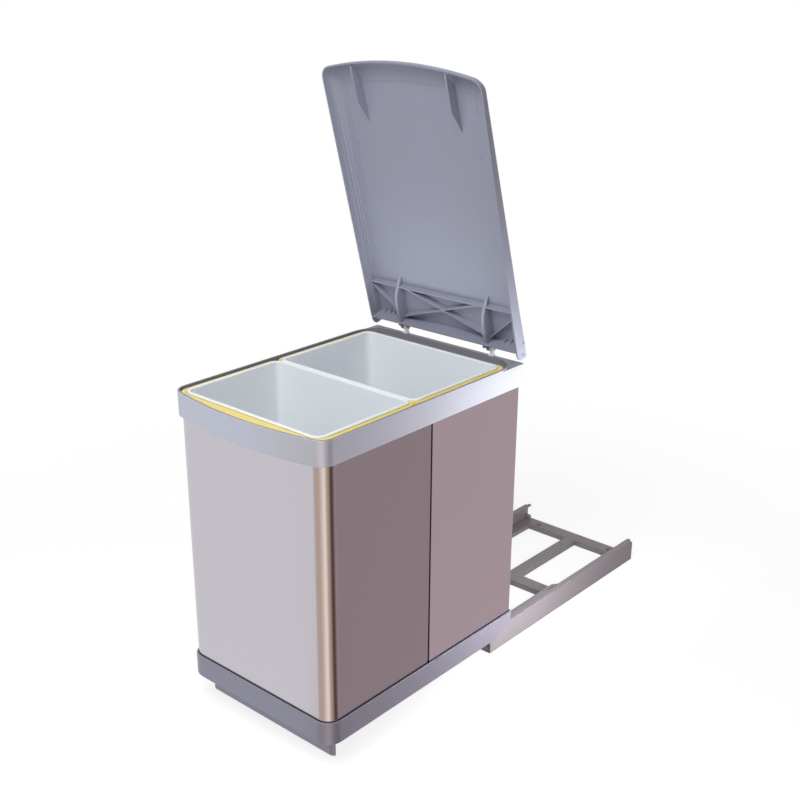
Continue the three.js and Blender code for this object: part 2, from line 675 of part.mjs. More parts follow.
// A tapered bucket that hangs by its lip: up the outside, over the lip and down the inside.
function bucket(lip) {
  const lipTop = LIP_BOTTOM + LIP_THICK;
  const under = LIP_WIDTH;
  const plan = lipPlan(lip);
  const draftAt = (z) => (BUCKET_DRAFT * Math.max(LIP_BOTTOM - z, 0)) / (LIP_BOTTOM - BUCKET_FOOT);
  const rings = [];
  const add = (inset, z) => rings.push(atHeight(outline(shrunk(plan, draftAt(z)), inset), z));
  const turns = 3;
  for (let i = 0; i <= turns; i++) {
    const angle = (Math.PI / 2) * (i / turns);
    const inset = under + BUCKET_FOOT_RADIUS * (1 - Math.sin(angle));
    add(inset, BUCKET_FOOT + BUCKET_FOOT_RADIUS * (1 - Math.cos(angle)));
  }
  add(under, LIP_BOTTOM);
  add(0.5, LIP_BOTTOM);
  add(0, LIP_BOTTOM + 0.5);
  add(0, lipTop - 0.9);
  add(0.9, lipTop);
  add(under + BUCKET_WALL - 0.9, lipTop);
  add(under + BUCKET_WALL, lipTop - 0.9);
  const inner = BUCKET_FOOT_RADIUS - BUCKET_WALL;
  const floor = BUCKET_FOOT + BUCKET_FLOOR;
  for (let i = turns; i >= 0; i--) {
    const angle = (Math.PI / 2) * (i / turns);
    const z = floor + inner * (1 - Math.cos(angle));
    add(under + BUCKET_WALL + inner * (1 - Math.sin(angle)), z);
  }
  return loft(rings);
}

for (const lip of LIPS) {
  place(bin, `${lip.name}_bag_ring`, bagRing(lip), ringYellow);
  place(bin, `${lip.name}_bucket`, bucket(lip), bucketWhite);
}

// ---------------------------------------------------------------- hinge posts and pins
// A clevis on the deck: two cheeks with round tops, and the pin that the lid's fin turns on.
const CHEEK_IN = FIN_THICK / 2 + GAP + 0.1;
const CHEEK_OUT = CHEEK_IN + CHEEK;

function hingePost() {
  const base = DECK_TOP + GAP;
  const top = HINGE_Z - base;
  const cheekShape = new THREE.Shape();
  cheekShape.moveTo(-KNUCKLE + 0.2, -top);
  cheekShape.lineTo(KNUCKLE - 0.2, -top);
  cheekShape.lineTo(KNUCKLE - 0.2, 0);
  cheekShape.absarc(0, 0, KNUCKLE - 0.2, 0, Math.PI, false);
  cheekShape.closePath();
  const bore = new THREE.Path().absarc(0, 0, PIN + GAP, 0, 2 * Math.PI, true);
  cheekShape.holes.push(bore);
  const cheeks = [-CHEEK_OUT, CHEEK_IN].map((x) => {
    const settings = { depth: CHEEK, bevelEnabled: false, curveSegments: 8 };
    const geometry = new THREE.ExtrudeGeometry(cheekShape, settings);
    geometry.rotateX(Math.PI / 2);
    geometry.rotateZ(Math.PI / 2);
    geometry.translate(x, HINGE_Y, HINGE_Z);
    return solid(geometry);
  });
  const half = KNUCKLE - 0.2;
  const foot = block(-CHEEK_OUT, CHEEK_OUT, HINGE_Y - half, HINGE_Y + half, base, base + POST_BASE);
  return joined([foot, ...cheeks]);
}

function hingePin() {
  const end = CHEEK_OUT + GAP;
  const profile = [
    [0, -end - 1.2],
    [PIN + 0.9, -end - 1.2],
    [PIN + 0.9, -end],
    [PIN, -end],
    [PIN, CHEEK_OUT + 0.4],
    [0, CHEEK_OUT + 0.4],
  ];
  return turnedAcross(profile, HINGE_Y, HINGE_Z, 16);
}

for (const { side, sign } of SIDES) {
  place(bin, `${side}_hinge_post`, hingePost().translate([sign * FIN_X, 0, 0]), postWhite);
  place(bin, `${side}_hinge_pin`, mirroredTo(sign, hingePin().translate([FIN_X, 0, 0])), zinc);
}

// ---------------------------------------------------------------- lid
// The lid's own frame has its origin on the hinge axis. Closed, S runs to the front and N down.
const lidPoint = (x, s, n) => [x, -s, LID_AXIS_N - n];
const edgeDepth = (s) => LID_DEPTH_REAR + ((LID_DEPTH_FRONT - LID_DEPTH_REAR) * s) / LID_LENGTH;

const lidEdge = {
  half: LID_HALF,
  front: -LID_LENGTH,
  rear: -LID_REAR_S,
  radius: LID_CORNER,
  bow: LID_BOW,
  rearRadius: 3,
};

// How far the crease between plate and skirt lies inside the free edge: little at the rear, and far
// more towards the front, where the skirt spreads into a pillow edge.
function creaseInset(s) {
  const t = THREE.MathUtils.clamp((s - PILLOW_START) / (PILLOW_END - PILLOW_START), 0, 1);
  return PILLOW_REAR + (PILLOW_SIDE - PILLOW_REAR) * t * t * (3 - 2 * t);
}

// The crease point that belongs to a point of the free edge.
function creaseOf([x, y]) {
  const s = -y;
  const inset = creaseInset(s);
  const frontLine = LID_LENGTH - LID_BOW * (x / LID_HALF) ** 2;
  const cornerStart = LID_LENGTH - LID_BOW - LID_CORNER;
  const share = THREE.MathUtils.clamp((s - cornerStart) / (frontLine - cornerStart), 0, 1);
  const sideX = (x * (LID_HALF - inset)) / LID_HALF;
  const rearShift = s < LID_REAR_S + 1 ? PILLOW_REAR / 2 : 0;
  return [sideX, y + share * PILLOW_FRONT - rearShift];
}

const SKIRT_STEPS = 5;

// The lid's dish: an outer skin that rolls from the plate over the pillow edge to the free edge, and
// an inner skin that follows it.
function lidDish() {
  const edge = outline(lidEdge);
  const crease = edge.map(creaseOf);
  const rings = [];
  // fullness: how square the roll is; wall: how far the skin lies inside the outer one
  const addRing = (turn, fullness, wall, top) => {
    const across = Math.sin(turn) ** (2 / fullness);
    const down = 1 - Math.cos(turn) ** (2 / fullness);
    rings.push(
      edge.map(([x, y], i) => {
        const [cx, cy] = crease[i];
        const length = Math.hypot(x - cx, y - cy);
        const reach = across * Math.max(1 - wall / length, 0);
        const n = top + (edgeDepth(-y) - top) * down;
        return lidPoint(cx + (x - cx) * reach, -(cy + (y - cy) * reach), n);
      }),
    );
  };
  for (let i = SKIRT_STEPS; i >= 0; i--) {
    addRing((Math.PI / 2) * (i / SKIRT_STEPS), 1.9, LID_LIP, 0);
  }
  const inner = rings.splice(0);
  for (let i = 0; i <= SKIRT_STEPS; i++) {
    addRing((Math.PI / 2) * (i / SKIRT_STEPS), 2.5, 0, -LID_PLATE);
  }
  // the skins run from the inner crease down to the free edge and up to the outer crease
  return loft([...inner.reverse(), ...rings.reverse()]);
}

// A rib on the plate between two points [x, s], from depth n0 to n1.
function lidRib([x0, s0], [x1, s1], n0, n1, thick = RIB) {
  const length = Math.hypot(x1 - x0, s1 - s0);
  const geometry = new THREE.BoxGeometry(length, thick, n1 - n0);
  geometry.rotateZ(Math.atan2(-(s1 - s0), x1 - x0));
  geometry.translate((x0 + x1) / 2, -(s0 + s1) / 2, LID_AXIS_N - (n0 + n1) / 2);
  return solid(geometry);
}

// A fin across the lid at x, with its outline given as [s, n].
function lidFin(x, points, thick) {
  return sidePrism(points.map(([s, n]) => [-s, LID_AXIS_N - n]).reverse(), x - thick / 2, x + thick / 2);
}

function hingeFins() {
  const sunk = -LID_PLATE / 2;
  const heel = [
    [74, sunk],
    [50.7, 14.9],
    [37, 18.1],
    [21.2, 18.5],
    [8.7, 16.3],
    [2, LID_AXIS_N + KNUCKLE - 0.6],
    [2, LID_AXIS_N - KNUCKLE + 0.6],
    [4, sunk],
  ];
  return SIDES.flatMap(({ sign }) => {
    const x = sign * FIN_X;
    const thin = lidFin(x, heel, FIN_THICK);
    const knuckle = turnedAcross(
      [
        [0, x - FIN_THICK / 2],
        [KNUCKLE, x - FIN_THICK / 2],
        [KNUCKLE, x + FIN_THICK / 2],
        [0, x + FIN_THICK / 2],
      ],
      0,
      0,
      20,
    );
    return [thin, knuckle];
  });
}

// The long wedges behind the front edge.
function frontFins() {
  const root = LID_LENGTH - LID_BOW * (FIN_X / LID_HALF) ** 2;
  const tip = edgeDepth(root) - 0.8;
  return SIDES.map(({ sign }) =>
    lidFin(
      sign * FIN_X,
      [
        [root - FRONT_FIN_LENGTH, -LID_PLATE / 2],
        [root - FRONT_FIN_HEEL, tip],
        [root - FRONT_FIN_TIP, tip],
        [root - PILLOW_FRONT, -LID_PLATE / 2],
      ],
      FIN_THICK * 0.6,
    ),
  );
}

// The braced ribs between the hinge fins, the diagonals outside them and the small gussets.
function lidRibs() {
  const low = -LID_PLATE / 2;
  const inner = LID_HALF - PILLOW_REAR - 1;
  const heel = LID_REAR_S + 6;
  const ribs = [lidRib([-inner, CROSS_RIB_S], [inner, CROSS_RIB_S], low, RIB_HEIGHT)];
  for (const { sign } of SIDES) {
    const fin = sign * FIN_X;
    ribs.push(lidRib([fin, heel], [-fin * 0.83, CROSS_RIB_S], low, RIB_HEIGHT - 0.4));
    ribs.push(lidRib([fin, heel], [sign * inner, CROSS_RIB_S - 5], low, RIB_HEIGHT - 0.8));
    for (let i = 1; i <= GUSSETS; i++) {
      const x = sign * (inner - GUSSET_STEP * i);
      ribs.push(lidFin(x, [[heel + 3, low], [LID_REAR_S + 1, RIB_HEIGHT * 0.7], [LID_REAR_S + 1, low]], 1.2));
    }
  }
  return ribs;
}

// Ears that carry the side walls back past the hinge axis, each with a small hole.
function ears() {
  const bottom = LID_DEPTH_REAR - 0.5;
  const ear = [
    [LID_REAR_S + 7, -LID_PLATE],
    [-EAR_BACK + 1, -LID_PLATE],
    [-EAR_BACK, -LID_PLATE + 1],
    [-EAR_BACK, bottom - 6.5],
    [-EAR_BACK + 0.9, bottom - 4.4],
    [-EAR_BACK + 3, bottom - 2.4],
    [EAR_HOLE * 2, bottom],
    [LID_REAR_S + 7, bottom],
  ];
  const inside = LID_HALF - LID_LIP - 0.2;
  const hole = turnedAcross(
    [
      [0, inside - CUT],
      [EAR_HOLE, inside - CUT],
      [EAR_HOLE, LID_HALF + CUT],
      [0, LID_HALF + CUT],
    ],
    0,
    LID_AXIS_N - 8.6,
    12,
  );
  return SIDES.map(({ sign }) =>
    mirroredTo(sign, lidFin((inside + LID_HALF) / 2, ear, LID_HALF - inside).subtract(hole)),
  );
}

function lid() {
  const whole = joined([lidDish(), ...hingeFins(), ...frontFins(), ...lidRibs(), ...ears()]);
  const pinHoles = SIDES.map(({ sign }) =>
    turnedAcross(
      [
        [0, sign * FIN_X - FIN_THICK],
        [PIN + GAP, sign * FIN_X - FIN_THICK],
        [PIN + GAP, sign * FIN_X + FIN_THICK],
        [0, sign * FIN_X + FIN_THICK],
      ],
      0,
      0,
      16,
    ),
  );
  const postRooms = SIDES.map(({ sign }) => {
    const x = sign * FIN_X;
    const room = CHEEK_OUT + 2.2;
    const low = -HINGE_HEIGHT;
    const high = KNUCKLE + GAP;
    const all = block(x - room, x + room, -KNUCKLE - GAP, KNUCKLE + GAP, low, high);
    const reach = KNUCKLE + CUT;
    const half = FIN_THICK / 2;
    return all.subtract(block(x - half, x + half, -reach, reach, low - CUT, high + CUT));
  });
  return without(whole, [...pinHoles, ...postRooms]);
}

place(lidGroup, "lid", lid(), lidGrey);
lidGroup.position.set(0, HINGE_Y, HINGE_Z);
lidGroup.rotation.x = -THREE.MathUtils.degToRad(LID_OPEN);

// ---------------------------------------------------------------- floor frame and rails
// A moulded grid: side strips, three cross bars and a centre bar, hollow from below.
const CROSSBARS = [RAIL_FRONT, (RAIL_FRONT + RAIL_REAR - CROSSBAR) / 2, RAIL_REAR - CROSSBAR];

function floorFrame() {
  const stripOuter = RAIL_INSIDE - GAP;
  const stripBottom = RAIL_FOOT + GAP;
  const footInner = RAIL_INSIDE - RAIL_FOOT_WIDTH - GAP;
  const strips = SIDES.map(({ sign }) =>
    block(sign * STRIP_INNER, sign * stripOuter, RAIL_FRONT, RAIL_REAR, stripBottom, FRAME_HEIGHT),
  );
  const bars = CROSSBARS.map((y) => block(-footInner, footInner, y, y + CROSSBAR, 0, FRAME_HEIGHT));
  const centre = block(-CENTRE_BAR_HALF, CENTRE_BAR_HALF, RAIL_FRONT, RAIL_REAR, 0, FRAME_HEIGHT);
  const skin = FRAME_HEIGHT - FRAME_SKIN;
  const barHollows = CROSSBARS.flatMap((y) =>
    SIDES.map(({ sign }) =>
      block(
        sign * (CENTRE_BAR_HALF - FRAME_SKIN),
        sign * (STRIP_INNER - FRAME_SKIN),
        y + FRAME_SKIN,
        y + CROSSBAR - FRAME_SKIN,
        -CUT,
        skin,
      ),
    ),
  );
  const bays = [0, 1].map((i) =>
    block(
      -CENTRE_BAR_HALF + FRAME_SKIN,
      CENTRE_BAR_HALF - FRAME_SKIN,
      CROSSBARS[i] + CROSSBAR,
      CROSSBARS[i + 1],
      -CUT,
      skin,
    ),
  );
  const frame = without(joined([...strips, ...bars, centre]), [...barHollows, ...bays]);
  const turnedAt = (radius, bottom, top, x, y) => {
    const geometry = new THREE.CylinderGeometry(radius, radius, top - bottom, 16);
    geometry.rotateX(Math.PI / 2);
    geometry.translate(x, y, (bottom + top) / 2);
    return solid(geometry);
  };
  const screwX = STRIP_INNER - FRAME_SCREW_IN;
  const spots = CROSSBARS.flatMap((y) => SIDES.map(({ sign }) => [sign * screwX, y + CROSSBAR * 0.4]));
  const screwBosses = spots.map(([x, y]) => turnedAt(FRAME_SCREW * 2, 0, skin + CUT, x, y));
  const holes = spots.map(([x, y]) => turnedAt(FRAME_SCREW, -CUT, FRAME_HEIGHT + CUT, x, y));
  const sinks = spots.map(([x, y]) => turnedAt(FRAME_SCREW * 1.8, FRAME_HEIGHT - 1.6, FRAME_HEIGHT + CUT, x, y));
  return without(joined([frame, ...screwBosses]), [...holes, ...sinks]);
}
place(unit, "floor_frame", floorFrame(), frameGrey);

// A roller that runs between two heights and lies between two distances from the middle.
const rollerBetween = (bottom, top, inner, outer, y) => ({
  radius: (top - bottom) / 2,
  z: (top + bottom) / 2,
  in: inner,
  out: outer,
  y,
});
const RAIL_ROLLER = rollerBetween(
  FRAME_HEIGHT + 2 * GAP,
  MIDDLE_TOP - MIDDLE_FLANGE - GAP,
  MIDDLE_WEB + 1.5,
  RAIL_INSIDE - 1.5,
  RAIL_FRONT + 11,
);

// The rail: a web with a turned-in lip and, under the frame's strip, a foot; its rear end is rounded
// at the top and closed by a low stop.
function rightRail() {
  const web = RAIL_INSIDE;
  const lipBottom = RAIL_HEIGHT - RAIL_LIP_THICK;
  const section = [
    [web - RAIL_FOOT_WIDTH, 0],
    [RAIL_HALF, 0],
    [RAIL_HALF, RAIL_HEIGHT - 1],
    [RAIL_HALF - 1, RAIL_HEIGHT],
    [RAIL_HALF - RAIL_LIP, RAIL_HEIGHT],
    [RAIL_HALF - RAIL_LIP, lipBottom],
    [web, lipBottom],
    [web, RAIL_FOOT],
    [web - RAIL_FOOT_WIDTH, RAIL_FOOT],
  ];
  const long = frontPrism(section, RAIL_FRONT, RAIL_REAR);
  const round = 7;
  const corner = [[RAIL_REAR + CUT, RAIL_HEIGHT + CUT]];
  for (let i = 0; i <= ARC_STEPS; i++) {
    const angle = (Math.PI / 2) * (i / ARC_STEPS);
    corner.push([RAIL_REAR - round + round * Math.sin(angle), RAIL_HEIGHT - round + round * Math.cos(angle)]);
  }
  corner.splice(1, 0, [RAIL_REAR - round, RAIL_HEIGHT + CUT]);
  corner.push([RAIL_REAR + CUT, RAIL_HEIGHT - round]);
  const roundCut = sidePrism(corner.reverse(), web - CUT, RAIL_HALF + CUT);
  const stopTop = FRAME_HEIGHT + 7;
  const stop = block(web - 9, web + CUT, RAIL_REAR - 9, RAIL_REAR - 3, FRAME_HEIGHT + GAP, stopTop);
  const socket = turnedAcross(
    [
      [0, web - CUT],
      [ROLLER_PIN + PIN_FIT, web - CUT],
      [ROLLER_PIN + PIN_FIT, web + PIN_SOCKET + GAP],
      [0, web + PIN_SOCKET + GAP],
    ],
    RAIL_ROLLER.y,
    RAIL_ROLLER.z,
    12,
  );
  return without(long.subtract(roundCut).add(stop), [socket]);
}

// ---------------------------------------------------------------- roller runners, right-hand side
const RUN = 0.35; // play of a roller between its tracks
const MIDDLE_REAR_ROLLER = rollerBetween(
  FRAME_HEIGHT + RUN,
  RAIL_HEIGHT - RAIL_LIP_THICK - RUN,
  MIDDLE_WEB + 1,
  RAIL_INSIDE - 3,
  MIDDLE_REAR - 12,
);
const TRACK_FLOOR = MIDDLE_BOTTOM + MIDDLE_FLANGE + GAP;
const INNER_ROLLER = { in: BIN_WEB + 1.2, out: MIDDLE_INSIDE - 1 };
const MIDDLE_FRONT_ROLLER = rollerBetween(
  TRACK_FLOOR,
  TRACK_TOP - RUNNER_SHEET - GAP,
  INNER_ROLLER.in,
  INNER_ROLLER.out,
  MIDDLE_FRONT + 8,
);
const BIN_ROLLER = rollerBetween(
  TRACK_FLOOR,
  MIDDLE_TRACK_TOP - MIDDLE_FLANGE - GAP,
  INNER_ROLLER.in,
  INNER_ROLLER.out,
  BIN_RUNNER_REAR - 12,
);

// A grooved nylon roller with a bore, its axis along X.
function roller({ radius, y, z, in: inner, out: outer }) {
  const bore = ROLLER_PIN + PIN_FIT;
  const chamfer = 0.7;
  const profile = [
    [bore, inner],
    [radius - chamfer, inner],
    [radius, inner + chamfer],
    [radius, outer - chamfer],
    [radius - chamfer, outer],
    [bore, outer],
    [bore, inner],
  ];
  return turnedAcross(profile, y, z, 20);
}

// A pin through a roller: steps [radius, x] from its inner end to its outer end.
function steppedPin({ y, z }, steps) {
  const profile = [[0, steps[0][1]]];
  for (const [radius, from, to] of steps) profile.push([radius, from], [radius, to]);
  profile.push([0, steps.at(-1)[2]]);
  return turnedAcross(profile, y, z, 12);
}

function pinHole({ y, z }, x0, x1) {
  const radius = ROLLER_PIN + PIN_FIT;
  return turnedAcross([[0, x0 - CUT], [radius, x0 - CUT], [radius, x1 + CUT], [0, x1 + CUT]], y, z, 12);
}

// Middle runner: a web with an outward top flange that rides on the rail's roller, and two inward
// flanges that the bin's roller runs between. Flanges stop short of the runner's own rollers.
function middleRunner() {
  const flangeInner = BIN_WEB + 0.7;
  const web = block(MIDDLE_INSIDE, MIDDLE_WEB, MIDDLE_FRONT, MIDDLE_REAR, MIDDLE_BOTTOM, MIDDLE_TOP);
  const flange = (x, front, rear, top) =>
    block(MIDDLE_INSIDE + MIDDLE_SHEET / 2, x, front, rear, top - MIDDLE_FLANGE, top);
  const clear = 2;
  const outerEnd = MIDDLE_REAR_ROLLER.y - MIDDLE_REAR_ROLLER.radius - clear;
  const innerStart = MIDDLE_FRONT_ROLLER.y + MIDDLE_FRONT_ROLLER.radius + clear;
  return without(
    joined([
      web,
      flange(flangeInner, MIDDLE_FRONT, MIDDLE_REAR, MIDDLE_BOTTOM + MIDDLE_FLANGE),
      flange(flangeInner, innerStart, MIDDLE_REAR, MIDDLE_TRACK_TOP),
      flange(MIDDLE_WEB + OUTWARD_FLANGE, MIDDLE_FRONT, outerEnd, MIDDLE_TOP),
    ]),
    [pinHole(MIDDLE_REAR_ROLLER, MIDDLE_INSIDE, MIDDLE_WEB), pinHole(MIDDLE_FRONT_ROLLER, MIDDLE_INSIDE, MIDDLE_WEB)],
  );
}

// Runner under the tray, with an outward track that rides on the middle runner's roller.
function binRunner() {
  const top = TRAY_BOTTOM - GAP;
  const web = block(BIN_INSIDE, BIN_WEB, BIN_RUNNER_FRONT, BIN_RUNNER_REAR, BIN_RUNNER_FOOT, top);
  const flangeRear = SHELL_DEPTH + TRAY_GROW - RAISED_LENGTH;
  const flange = block(BIN_INSIDE - BIN_FLANGE_WIDTH, BIN_WEB, BIN_RUNNER_FRONT, flangeRear, top - RUNNER_SHEET, top);
  const trackRear = BIN_ROLLER.y - BIN_ROLLER.radius - 2;
  const trackBottom = TRACK_TOP - RUNNER_SHEET;
  const track = block(BIN_INSIDE, BIN_WEB + TRACK_WIDTH, BIN_RUNNER_FRONT, trackRear, trackBottom, TRACK_TOP);
  return joined([web, flange, track]).subtract(pinHole(BIN_ROLLER, BIN_INSIDE, BIN_WEB));
}

const HEAD_THICK = 0.9;
const railRollerPin = steppedPin(RAIL_ROLLER, [
  [PIN_HEAD, MIDDLE_WEB + 0.4, RAIL_ROLLER.in - GAP],
  [ROLLER_PIN, RAIL_ROLLER.in - GAP, RAIL_ROLLER.out + GAP],
  [PIN_HEAD, RAIL_ROLLER.out + GAP, RAIL_INSIDE - GAP],
  [ROLLER_PIN, RAIL_INSIDE - GAP, RAIL_INSIDE + PIN_SOCKET],
]);
const middleRearPin = steppedPin(MIDDLE_REAR_ROLLER, [
  [PIN_HEAD, MIDDLE_INSIDE - GAP - HEAD_THICK, MIDDLE_INSIDE - GAP],
  [ROLLER_PIN, MIDDLE_INSIDE - GAP, MIDDLE_REAR_ROLLER.out + GAP],
  [PIN_HEAD, MIDDLE_REAR_ROLLER.out + GAP, MIDDLE_REAR_ROLLER.out + GAP + HEAD_THICK],
]);
const middleFrontPin = steppedPin(MIDDLE_FRONT_ROLLER, [
  [PIN_HEAD, BIN_WEB + GAP, MIDDLE_FRONT_ROLLER.in - GAP],
  [ROLLER_PIN, MIDDLE_FRONT_ROLLER.in - GAP, MIDDLE_FRONT_ROLLER.out + GAP],
  [PIN_HEAD, MIDDLE_FRONT_ROLLER.out + GAP, MIDDLE_INSIDE - GAP],
  [ROLLER_PIN, MIDDLE_INSIDE - GAP, MIDDLE_WEB],
]);
const binRollerPin = steppedPin(BIN_ROLLER, [
  [PIN_HEAD, BIN_INSIDE - GAP - HEAD_THICK, BIN_INSIDE - GAP],
  [ROLLER_PIN, BIN_INSIDE - GAP, BIN_ROLLER.out + GAP],
  [PIN_HEAD, BIN_ROLLER.out + GAP, MIDDLE_INSIDE - GAP],
]);

const RIGHT_PIECES = [
  ["rail", rightRail(), frameGrey, unit],
  ["rail_roller", roller(RAIL_ROLLER), rollerWhite, unit],
  ["rail_roller_pin", railRollerPin, zinc, unit],
  ["middle_runner", middleRunner(), zinc, unit],
  ["middle_rear_roller", roller(MIDDLE_REAR_ROLLER), rollerWhite, unit],
  ["middle_rear_pin", middleRearPin, zinc, unit],
  ["middle_front_roller", roller(MIDDLE_FRONT_ROLLER), rollerWhite, unit],
  ["middle_front_pin", middleFrontPin, zinc, unit],
  ["bin_runner", binRunner(), zinc, bin],
  ["bin_roller", roller(BIN_ROLLER), rollerWhite, bin],
  ["bin_roller_pin", binRollerPin, zinc, bin],
];

for (const { side, sign } of SIDES) {
  for (const [name, body, makePaint, group] of RIGHT_PIECES) {
    place(group, `${side}_${name}`, mirroredTo(sign, body), makePaint);
  }
}

// The unit's origin is the middle of its footprint, on the cabinet floor.
unit.position.y = -(COLLAR_FRONT + RAIL_REAR) / 2;

export default unit;
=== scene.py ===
import json
import math

import bpy
from mathutils import Matrix, Vector

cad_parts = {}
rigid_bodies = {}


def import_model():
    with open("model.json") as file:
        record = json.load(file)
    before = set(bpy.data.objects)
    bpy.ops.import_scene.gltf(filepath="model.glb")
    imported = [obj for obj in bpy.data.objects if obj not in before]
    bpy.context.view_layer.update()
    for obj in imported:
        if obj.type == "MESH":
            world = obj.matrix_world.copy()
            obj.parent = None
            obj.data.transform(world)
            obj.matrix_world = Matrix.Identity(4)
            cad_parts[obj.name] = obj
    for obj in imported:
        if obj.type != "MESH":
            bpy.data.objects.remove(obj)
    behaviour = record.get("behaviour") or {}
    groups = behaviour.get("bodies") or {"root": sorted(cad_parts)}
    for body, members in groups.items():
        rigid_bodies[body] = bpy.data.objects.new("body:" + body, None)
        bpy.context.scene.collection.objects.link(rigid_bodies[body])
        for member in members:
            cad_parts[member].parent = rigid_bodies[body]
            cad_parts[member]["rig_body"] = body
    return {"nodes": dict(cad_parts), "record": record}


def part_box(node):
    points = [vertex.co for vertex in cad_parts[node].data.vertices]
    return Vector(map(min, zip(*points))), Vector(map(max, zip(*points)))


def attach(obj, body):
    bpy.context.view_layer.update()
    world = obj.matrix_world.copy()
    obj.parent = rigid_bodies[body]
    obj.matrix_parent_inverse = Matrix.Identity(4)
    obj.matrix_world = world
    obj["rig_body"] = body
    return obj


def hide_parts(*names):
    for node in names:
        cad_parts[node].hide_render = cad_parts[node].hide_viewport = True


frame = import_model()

bl_info = {
    "name": "Pull-out waste bin dress",
    "version": (1, 0, 0),
    "blender": (4, 5, 0),
    "location": "View3D > Sidebar > Waste bin",
    "description": "Finishes a pull-out kitchen waste bin and sets up its studio",
    "category": "Object",
}

NODES = frame["nodes"]
SLOTS = {row["node"]: row["material_slot"] for row in frame["record"]["subparts"]}
SIDES = ("left", "right")
MM = 0.001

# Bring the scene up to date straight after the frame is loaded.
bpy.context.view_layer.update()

# The photograph's camera, in the row frame.
CAMERA_PLACE = (0.9651, -1.1899, 0.9270)
CAMERA_YAW = math.radians(41.19)
CAMERA_PITCH = math.radians(21.884)
CAMERA_ROLL = math.radians(0.293)
CAMERA_LENS = 53.467
CAMERA_RISE = 0.0371

# The steel's box, and the lapped seam in its right side; the flank ahead of the seam is painted
# darker as shade, and a thin line along the seam is painted shade.
SHELL_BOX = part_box("steel_shell")
LAP_Y = SHELL_BOX[0][1] + 185.0 * MM
LAP_REACH = 22.0 * MM
SEAM_LINE = 1.2 * MM
CORNER_REACH = 18.0 * MM  # from the steel's front corner to where its mirrored room is centred
RIM_BEFORE_SHADE = 2.5 * MM  # how far the collar's outer colour reaches over its rim before the painted shade inside

# Welding and smoothing of the copied meshes.
WELD = 0.002 * MM
FLAT = math.radians(0.4)
SMOOTH = math.radians(38.0)
BEVEL_FROM = math.radians(35.0)

# The lid's hinge axis, its angle above closed, and its ears in the lid's own frame.
HINGE = Vector((0.0, 5.2 * MM, 447.0 * MM))
LID_OPEN = 74.0
LID_TOP = -13.5 * MM  # outside of the lid's plate, from the axis
EAR_THICK = 2.4 * MM
EAR_REACH = 14.5 * MM
EAR_EDGE = 1.2 * MM  # depth of the edge that is rolled over
EAR_ROLL_IN = 1.0 * MM  # how far it goes in at the ear's inner face
EAR_ROLL_OUT = 4.0 * MM  # and at its outer face

# The white lugs beside the lid's fins.
LUG_GAP = 2.6 * MM  # from the middle of the lid's fin to the lug
BOSS_RADIUS = 4.4 * MM
BOSS_SIDES = 40
LEG_HALF = 3.35 * MM
LEG_SINK = 0.4 * MM  # of the leg behind the boss's inner face
LEG_SHORT = 1.4 * MM  # of the leg behind the boss's outer face
LEG_LIFT = 0.5 * MM
FOOT_IN = 2.0 * MM
FOOT_SHORT = 0.4 * MM
FOOT_WIDER = 0.6 * MM
FOOT_THICK = 1.6 * MM
LUG_EDGE = 0.45 * MM

# Edges of the floor frame's windows.
GRID_X = (-82.0 * MM, -9.2 * MM, 9.2 * MM, 82.0 * MM)
GRID_Y = (11.2 * MM, 169.7 * MM, 191.7 * MM, 350.2 * MM)

# Marks on the lid's plate, in the lid's own frame: x across, then towards the free edge.
PLATE_INSIDE = -11.5 * MM
BEAD_HALF = 103.5 * MM
BEAD_FRONT = 347.0 * MM
BEAD_BOW = 9.8 * MM
BEAD_CORNER = 7.0 * MM
BEAD_CORNER_STEPS = 6
BEAD_FRONT_STEPS = 20
BEAD_REAR_LEFT = 190.0 * MM
BEAD_REAR_RIGHT = 316.0 * MM
BEAD_RADIUS = 0.4 * MM
TICKS = {"left": (-100.0 * MM, 259.0 * MM), "right": (99.0 * MM, 262.0 * MM)}
TICK_HALF = Vector((0.4, 4.0, 0.5)) * MM
TICK_EDGE = 0.2 * MM
GATE_ALONG = 171.0 * MM
GATE_RADIUS = 1.6 * MM
GATE_HEIGHT = 1.2 * MM
GATE_EDGE = 0.3 * MM

# The floor shows its lit colour close to the bin and plain white further out.
FLOOR_SIZE = 12.0
FLOOR_BELOW = 0.5 * MM
FLOOR_SHADE = 0.34
SHADE_NEAR = 0.35
SHADE_FAR = 1.1
GLOW_DROP = -0.62
FLOOR_PALE = (0.70, 0.70, 0.71, 1.0)

# The studio's lamps: place, target, width and height.
LAMPS = {
    "key": ((0.55, -1.6, 2.2), (0.0, -0.1, 0.35), 1.1, 1.1),
    "side": ((0.31, 0.03, 0.25), (0.12, 0.03, 0.25), 0.10, 0.42),
    "mouth": ((0.12, -0.7, 1.2), (0.0, -0.1, 0.4), 0.4, 0.4),
    "bounce": ((0.0, -0.12, 0.46), (0.0, -0.12, 0.56), 0.22, 0.16),
}


